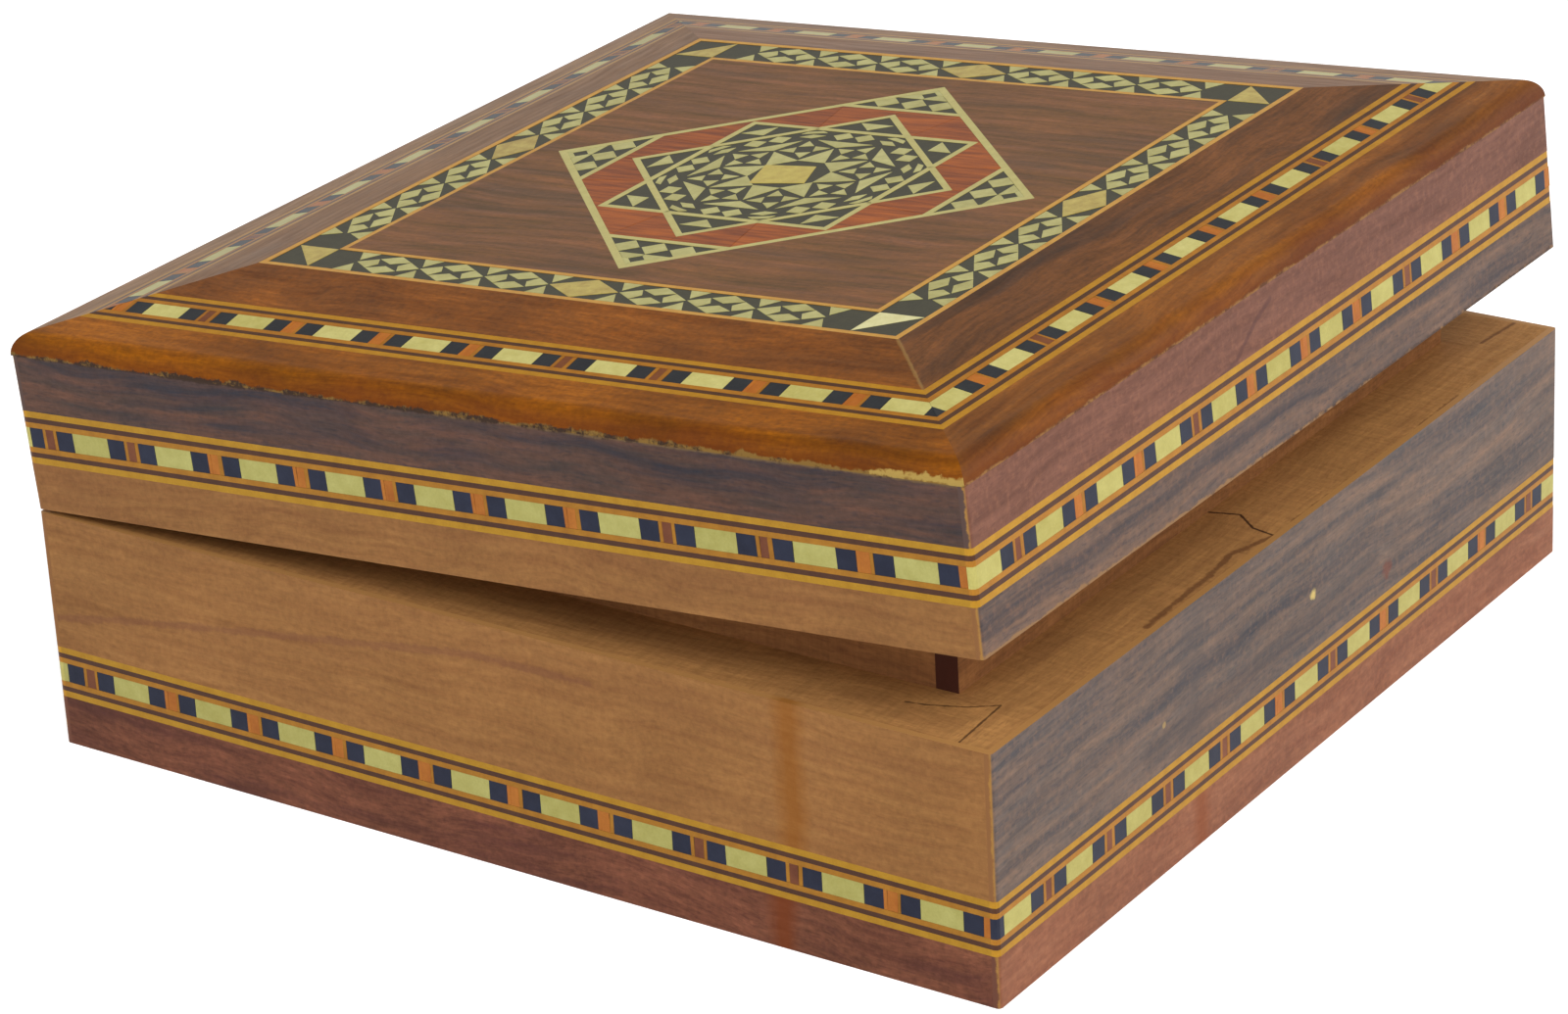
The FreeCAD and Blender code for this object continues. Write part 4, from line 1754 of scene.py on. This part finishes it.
@dataclass
class Veneers:
    """The plain wood pieces of the box, veneers, walls, liners and boards, and its hinges."""

    nodes: dict[str, bpy.types.Object]

    FLAT = (Axis.X, Axis.Y)
    FRONT_WALL = (Axis.X, Axis.Z)
    SIDE_WALL = (Axis.Y, Axis.Z)
    PALE = srgb(168, 124, 66)
    BARE_TOP = srgb(176, 128, 74)
    TAN_EDGE = RawEdge(Axis.X, PALE, srgb(144, 99, 60))
    TOP_EDGE = RawEdge(Axis.Z, BARE_TOP, BARE_TOP)
    ROLL = SIZES.lid_rim + SIZES.roll_foot
    TORN = srgb(60, 44, 34)
    CRACK = srgb(58, 34, 22)
    GLUE = srgb(96, 58, 36)
    RIM_CRACK = ((-2.6, -62.9), (-1.3, -67.1), (-4.2, -70.6), (-5.0, -74.2))
    LEFT_GLUE = ((-5.1, -74.2), (-12.6, -72.1), (-18.9, -72.8), (-36.3, -73.4))
    RIGHT_GLUE = ((0.1, -74.2), (17.3, -74.4), (28.3, -74.5), (46.5, -74.0))
    CORNER_GLUE = ((66.8, -61.9), (65.2, -68.2), (74.6, -69.0))
    SEAM = ((-67.8, -58.4), (-67.4, -60.9), (-65.6, -65.7), (-63.2, -69.1), (-75.0, -70.0))
    SEAM_MARK = Stroke(FLAT, SEAM, 0.2, CRACK, 0.8, 0.2)
    RIM_MARKS = (
        Stroke(FLAT, RIM_CRACK, 0.26, CRACK, 0.95, 0.12),
        Stroke(FLAT, LEFT_GLUE, 0.6, GLUE, 0.7, 0.5),
        Stroke(FLAT, RIGHT_GLUE, 0.5, GLUE, 0.6, 0.6),
        Stroke(FLAT, CORNER_GLUE, 0.4, GLUE, 0.7, 0.2),
        SEAM_MARK,
    )
    LEFT_FIGURE = ((73.7, 19.1), (55.9, 22.2), (32.0, 25.6), (2.7, 29.8), (-15.7, 29.9))
    HINGE_PARTS = ("base_leaves", "lid_leaves", "pins", "base_screws", "lid_screws")
    LID_LINE = ((-18.2, 48.4), (-12.5, 49.5), (-7.5, 52.7), (-3.2, 54.5))

    def build(self) -> None:
        """Dress every plain piece."""
        for dressing in (*self._walls(), *self._lid_top(), *self._inside()):
            material = dressing.finish.build()
            for name in dressing.nodes:
                mesh = self.nodes[name].data
                mesh.materials.clear()
                mesh.materials.append(material)
            log.info("%s: %s", dressing.finish.name, ", ".join(dressing.nodes))

    def _walls(self) -> list[Dressing]:
        """List the finishes of the upright veneers.

        Returns:
            The finishes with their nodes.
        """
        x, y, lid = Grain.ALONG_X, Grain.ALONG_Y, Body.LID
        wall_tear = WornEdge(Axis.Y, self.ROLL, 0.3, srgb(110, 88, 62), self.TORN, -10.0, 0.1, False)
        fibres = WornEdge(Axis.X, SIZES.lid_rim, 0.55, srgb(152, 114, 76), srgb(84, 64, 54))
        line = Stroke(self.FRONT_WALL, self.LID_LINE, 0.5, srgb(90, 56, 52), 0.6, 0.2)
        chips = (
            Spot(Axis.X, 3.7, 22.7, 0.9, srgb(216, 190, 116)),
            Spot(Axis.X, -35.0, 20.7, 0.5, srgb(180, 150, 100), 0.8),
            Spot(Axis.X, 24.1, 18.0, 1.6, srgb(124, 66, 46), 0.6),
        )
        figure = Stroke(self.SIDE_WALL, self.LEFT_FIGURE, 0.7, srgb(118, 74, 56), 0.4, 0.6)
        left_run = Run(Axis.Y, -45.8, 2.8, srgb(142, 84, 20), 0.65)
        low_run = Run(Axis.Y, -43.6, 2.6, srgb(118, 56, 20), 0.8)
        front_run = Run(Axis.X, -26.2, 2.6, srgb(140, 70, 28), 0.6)
        smear = Run(Axis.X, -28.0, 5.0, srgb(84, 78, 78), 0.35)
        vein_points = ((-38.0, 18.0), (-12.0, 18.6), (20.0, 20.3))
        vein = Stroke(self.FRONT_WALL, vein_points, 2.6, srgb(78, 70, 70), 0.4, 0.9)
        lid_vein = Stroke(self.FRONT_WALL, ((-20.0, 39.3), (14.0, 39.0)), 1.0, srgb(68, 64, 68), 0.45, 0.5)
        upper_end = RawEdge(Axis.X, self.PALE, srgb(92, 72, 66))
        lower_end = RawEdge(Axis.X, self.PALE, srgb(112, 71, 56))
        slip = (srgb(129, 80, 58), srgb(103, 61, 46), srgb(80, 45, 40))
        return [
            Dressing(
                Wood(
                    "lid_side_upper", srgb(106, 74, 60), srgb(72, 61, 57), srgb(36, 44, 56), y, lid, 2.0,
                    streak_pitch=0.3, streak_stretch=0.06, streak_share=0.8, fine=0.2, speckle=0.1,
                    marks=(wall_tear,),
                ),
                ("lid_left_upper_veneer", "lid_right_upper_veneer"),
            ),
            Dressing(
                Wood(
                    "lid_side_lower", srgb(157, 111, 64), srgb(137, 93, 54), srgb(120, 76, 48), y, lid, 5.0,
                    streak_share=0.4, fine=0.1, speckle=0.11, pores=0.2,
                ),
                ("lid_left_lower_veneer", "lid_right_lower_veneer"),
            ),
            Dressing(
                Wood(
                    "base_side_upper", srgb(161, 114, 66), srgb(142, 97, 56), srgb(124, 80, 50), y, seed=8.0,
                    streak_share=0.35, fine=0.1, speckle=0.11, pores=0.2,
                    marks=(figure, self.TOP_EDGE, left_run),
                ),
                ("base_left_upper_veneer", "base_right_upper_veneer"),
            ),
            Dressing(
                Wood(
                    "base_side_lower", *slip, y, seed=11.0, streak_pitch=0.3, streak_share=0.9, fine=0.32,
                    speckle=0.15, blotch=0.2, marks=(low_run,),
                ),
                ("base_left_lower_veneer", "base_right_lower_veneer"),
            ),
            Dressing(Wood("slide_face", *slip, y, Body.SLIDE, 11.0, streak_share=0.7), ("slide_veneer",)),
            Dressing(
                Wood(
                    "lid_cross_upper", srgb(136, 90, 72), srgb(112, 73, 59), srgb(87, 56, 50), x, lid, 14.0,
                    streak_share=0.25, fine=0.1, fleck=srgb(160, 108, 80), marks=(line, upper_end),
                ),
                ("lid_front_upper_veneer", "lid_back_upper_veneer"),
            ),
            Dressing(
                Wood(
                    "lid_cross_lower", srgb(131, 101, 82), srgb(96, 84, 80), srgb(47, 51, 61), x, lid, 17.0,
                    streak_pitch=0.34, streak_stretch=0.03, streak_share=0.8, wander=2.5, fine=0.18,
                    speckle=0.08, fleck=srgb(146, 104, 78), marks=(lid_vein, fibres, self.TAN_EDGE),
                ),
                ("lid_front_lower_veneer", "lid_back_lower_veneer"),
            ),
            Dressing(
                Wood(
                    "base_cross_upper", srgb(136, 109, 91), srgb(101, 93, 90), srgb(49, 56, 67), x, seed=20.0,
                    streak_pitch=0.34, streak_stretch=0.025, streak_share=0.8, wander=2.5, fine=0.18,
                    fleck=srgb(150, 112, 86), marks=(smear, vein, *chips, self.TAN_EDGE, self.TOP_EDGE),
                ),
                ("base_front_upper_veneer", "base_back_upper_veneer"),
            ),
            Dressing(
                Wood(
                    "base_cross_lower", srgb(159, 103, 73), srgb(138, 86, 63), srgb(116, 67, 51), x,
                    seed=23.0, streak_share=0.4, fine=0.16, speckle=0.1, pores=0.2, blotch=0.14,
                    fleck=srgb(178, 116, 80), marks=(front_run, lower_end),
                ),
                ("base_front_lower_veneer", "base_back_lower_veneer"),
            ),
        ]

    def _lid_top(self) -> list[Dressing]:
        """List the finishes of the bevels and the field.

        Returns:
            The finishes with their nodes.
        """
        x, y, lid = Grain.ALONG_X, Grain.ALONG_Y, Body.LID
        side_tear = WornEdge(Axis.Y, self.ROLL, 0.75, srgb(134, 102, 50), self.TORN, -30.0, 0.06)
        cross_tear = WornEdge(Axis.X, self.ROLL, 0.4, srgb(150, 106, 58), srgb(98, 60, 36), 0.0, 0.0)
        mitre = Stroke(self.FLAT, ((-50.8, -50.8), (-61.0, -61.0)), 0.3, srgb(150, 116, 62), 0.55, 0.2)
        # Painted shade on the rolled edge, low on every bevel piece.
        roll_shade = Handled(self.ROLL, 3.0, srgb(104, 46, 16), 0.6)
        worn_corner = ((-62.0, self.ROLL + 0.4), (-76.0, self.ROLL + 0.5))
        corner = Stroke(self.SIDE_WALL, worn_corner, 0.55, srgb(182, 152, 80), 0.9, 0.9)
        return [
            Dressing(
                Wood(
                    "bevel_side_outer", srgb(148, 85, 1), srgb(120, 65, 1), srgb(88, 45, 1), y, lid, 26.0,
                    streak_share=0.7, fine=0.3, speckle=0.15, blotch=0.34, sheen=0.08,
                    marks=(roll_shade, side_tear, corner),
                ),
                ("bevel_left_outer_veneer",),
            ),
            Dressing(
                Wood(
                    "bevel_cross_outer", srgb(143, 84, 13), srgb(113, 62, 10), srgb(77, 42, 10), x, lid, 29.0,
                    streak_share=0.85, fine=0.2, speckle=0.12, blotch=0.24, sheen=0.08,
                    marks=(roll_shade, cross_tear),
                ),
                ("bevel_front_outer_veneer",),
            ),
            # The right and back bevels are paler, more olive and glossier than the near ones; their paler
            # olive colour is in part painted haze, standing in for the grazing reflection seen there.
            Dressing(
                Wood(
                    "bevel_right_outer", srgb(131, 88, 34), srgb(107, 70, 29), srgb(80, 51, 24), y, lid, 27.0,
                    blotch=0.14, sheen=0.2, marks=(roll_shade,),
                ),
                ("bevel_right_outer_veneer",),
            ),
            Dressing(
                Wood(
                    "bevel_back_outer", srgb(130, 89, 36), srgb(106, 71, 31), srgb(79, 52, 26), x, lid, 30.0,
                    blotch=0.14, sheen=0.2, marks=(roll_shade,),
                ),
                ("bevel_back_outer_veneer",),
            ),
            Dressing(
                Wood(
                    "bevel_right_inner", srgb(118, 74, 16), srgb(97, 57, 15), srgb(73, 41, 13), y, lid, 33.0,
                    blotch=0.14, sheen=0.14,
                ),
                ("bevel_right_inner_veneer",),
            ),
            Dressing(
                Wood(
                    "bevel_back_inner", srgb(123, 80, 22), srgb(101, 63, 20), srgb(76, 46, 18), x, lid, 36.0,
                    blotch=0.14, sheen=0.14,
                ),
                ("bevel_back_inner_veneer",),
            ),
            Dressing(
                Wood(
                    "bevel_side_inner", srgb(136, 77, 10), srgb(112, 60, 8), srgb(86, 46, 7), y, lid, 32.0,
                    streak_share=0.7, fine=0.3, speckle=0.16, blotch=0.34, sheen=0.08, marks=(mitre,),
                ),
                ("bevel_left_inner_veneer",),
            ),
            Dressing(
                Wood(
                    "bevel_cross_inner", srgb(118, 69, 24), srgb(92, 55, 22), srgb(60, 39, 22), x, lid, 35.0,
                    streak_pitch=0.25, streak_share=1.0, fine=0.28, speckle=0.12, blotch=0.22, sheen=0.08,
                    marks=(mitre,),
                ),
                ("bevel_front_inner_veneer",),
            ),
            Dressing(
                Wood(
                    "top_field", srgb(127, 73, 22), srgb(93, 63, 22), srgb(61, 43, 19), y, lid, 38.0,
                    streak_pitch=0.25, streak_share=0.65, wander=3.0, fine=0.16, speckle=0.09, blotch=0.14,
                ),
                ("top_field_veneer",),
            ),
        ]

    def _inside(self) -> list[Dressing]:
        """List the finishes of the walls, the liners, the lock and the hinges.

        Returns:
            The finishes with their nodes.
        """
        x, y = Grain.ALONG_X, Grain.ALONG_Y
        rim = (srgb(181, 132, 77), srgb(157, 111, 65), srgb(128, 87, 53))
        board = (srgb(150, 104, 62), srgb(122, 82, 50), srgb(98, 64, 44))
        lining = (srgb(164, 112, 66), srgb(136, 90, 54), srgb(104, 66, 44))
        slide = (srgb(158, 112, 68), srgb(132, 92, 58), srgb(104, 70, 48))
        raw = {"roughness": 0.7, "relief": 0.08, "saw": 0.09, "streak_share": 0.3}
        liner_end = RawEdge(Axis.X, srgb(72, 38, 28), srgb(72, 38, 28))
        return [
            Dressing(
                Wood("rim_cross", *rim, x, seed=41.0, marks=self.RIM_MARKS, **raw),
                ("base_front_wall", "base_back_wall", "base_bottom_panel"),
            ),
            Dressing(
                Wood("rim_side", *rim, y, seed=44.0, marks=(self.SEAM_MARK,), **raw),
                ("base_left_wall", "base_right_wall"),
            ),
            Dressing(
                Wood("lid_boards", *board, x, Body.LID, 47.0, **raw),
                (*(f"lid_{side.word}_wall" for side in Side), "lid_top_board", "lid_catch"),
            ),
            Dressing(
                Wood("liner_cross", *lining, x, seed=50.0, marks=(liner_end,), **raw),
                ("liner_front", "liner_back"),
            ),
            Dressing(Wood("liner_side", *lining, y, seed=53.0, **raw), ("liner_left", "liner_right")),
            Dressing(Wood("slide_wood", *slide, y, Body.SLIDE, 56.0, **raw), ("secret_slide", "lock_bolt")),
            Dressing(Brass(), tuple(f"hinge_{part}" for part in self.HINGE_PARTS)),
        ]


@dataclass(frozen=True)
class PhotoCamera:
    """The camera that took the photo, in millimetres, degrees and photo pixels."""

    azimuth: float = -54.9693
    elevation: float = 23.5252
    roll: float = -2.9922
    distance: float = 681.7843
    target_height: float = 27.53
    focal: float = 5055.233
    principal: Point = (836.01, 472.91)
    picture: Point = (1600.0, 1035.0)
    sensor: float = 36.0
    nearest: float = 10.0

    def build(self) -> bpy.types.Object:
        """Make the camera and use it for the scene.

        Returns:
            The camera object.
        """
        turn, lift, tilt = (math.radians(a) for a in (self.azimuth, self.elevation, self.roll))
        back = Vector((math.sin(turn) * math.cos(lift), -math.cos(turn) * math.cos(lift), math.sin(lift)))
        right = (-back).cross(Vector((0, 0, 1))).normalized()
        up = right.cross(-back)
        tilted_right = math.cos(tilt) * right + math.sin(tilt) * up
        tilted_up = -math.sin(tilt) * right + math.cos(tilt) * up
        data = bpy.data.cameras.new("photo_camera")
        data.sensor_width = self.sensor
        data.lens = self.focal * self.sensor / self.picture[0]
        data.shift_x = (self.picture[0] / 2 - self.principal[0]) / self.picture[0]
        data.shift_y = (self.principal[1] - self.picture[1] / 2) / self.picture[0]
        data.clip_start = self.nearest / MM_PER_M
        camera = bpy.data.objects.new("photo_camera", data)
        place = Matrix((tilted_right, tilted_up, back)).transposed().to_4x4()
        place.translation = (Vector((0, 0, self.target_height)) + back * self.distance) / MM_PER_M
        camera.matrix_world = place
        bpy.context.scene.collection.objects.link(camera)
        bpy.context.scene.camera = camera
        return camera


@dataclass(frozen=True)
class Lamp:
    """A soft rectangular lamp that points at the box."""

    name: str
    place: tuple[float, float, float]
    size: float
    power: float
    aim: tuple[float, float, float] = (0.0, 0.0, 0.04)

    def build(self) -> bpy.types.Object:
        """Make the lamp.

        Returns:
            The lamp object.
        """
        data = bpy.data.lights.new(self.name, "AREA")
        data.size = self.size
        data.energy = self.power
        lamp = bpy.data.objects.new(self.name, data)
        lamp.location = self.place
        lamp.rotation_euler = (Vector(self.aim) - lamp.location).to_track_quat("-Z", "Y").to_euler()
        bpy.context.scene.collection.objects.link(lamp)
        return lamp


@dataclass(frozen=True)
class Studio:
    """White floor, white surround and soft lamps, in metres."""

    lamps: tuple[Lamp, ...] = (
        Lamp("key_lamp", (-0.55, -0.75, 0.9), 0.7, 7.0),
        Lamp("fill_lamp", (-0.9, 0.35, 0.6), 0.8, 3.0),
        Lamp("side_lamp", (0.8, -0.8, 0.5), 0.7, 4.0),
    )
    white: Colour = (1.0, 1.0, 1.0)
    floor_colour: Colour = srgb(226, 226, 226)
    floor_half: float = 3.0
    floor_glow: float = 0.6
    surround_light: float = 0.5

    def build(self) -> None:
        """Make the floor, the surround, the lamps and the camera."""
        self._floor()
        self._surround()
        for lamp in self.lamps:
            lamp.build()
        PhotoCamera().build()
        bpy.context.scene.view_settings.view_transform = "Standard"

    def _floor(self) -> None:
        """Make a pale floor that looks white, also in polish and glass, and keeps the box's shadow."""
        kit = NodeKit("studio_floor")
        plain = kit.add("ShaderNodeBsdfDiffuse", {"Color": self.floor_colour}).outputs[0]
        strength = kit.math("MULTIPLY", kit.seen(), self.floor_glow)
        glow = kit.add("ShaderNodeEmission", {"Color": self.white, "Strength": strength}).outputs[0]
        both = kit.add("ShaderNodeAddShader", {0: plain, 1: glow}).outputs[0]
        kit.add("ShaderNodeOutputMaterial", {"Surface": both})
        mesh = bpy.data.meshes.new("floor")
        half = self.floor_half
        mesh.from_pydata(
            [(-half, -half, 0), (half, -half, 0), (half, half, 0), (-half, half, 0)], [], [(0, 1, 2, 3)]
        )
        mesh.materials.append(kit.material)
        floor = bpy.data.objects.new("floor", mesh)
        bpy.context.scene.collection.objects.link(floor)

    def _surround(self) -> None:
        """Make a surround that looks white, also in polish and glass, and lights at a part of that."""
        world = bpy.data.worlds.new("studio")
        kit = NodeKit("studio", world)
        strength = kit.blend(kit.seen(), self.surround_light, 1.0)
        light = kit.add("ShaderNodeBackground", {"Color": self.white, "Strength": strength}).outputs[0]
        kit.add("ShaderNodeOutputWorld", {"Surface": light})
        bpy.context.scene.world = world


def main() -> None:
    """Build the box's looks and the studio."""
    logging.basicConfig(level=logging.INFO)
    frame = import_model()
    Veneers(frame["nodes"]).build()
    Bandings().build()
    top_finishes = TileFinishes(Body.LID, Ageing("lid_top"))
    MosaicBorder().build(top_finishes)
    StarMedallion().build(top_finishes)
    Studio().build()


if __name__ == "__main__":
    main()
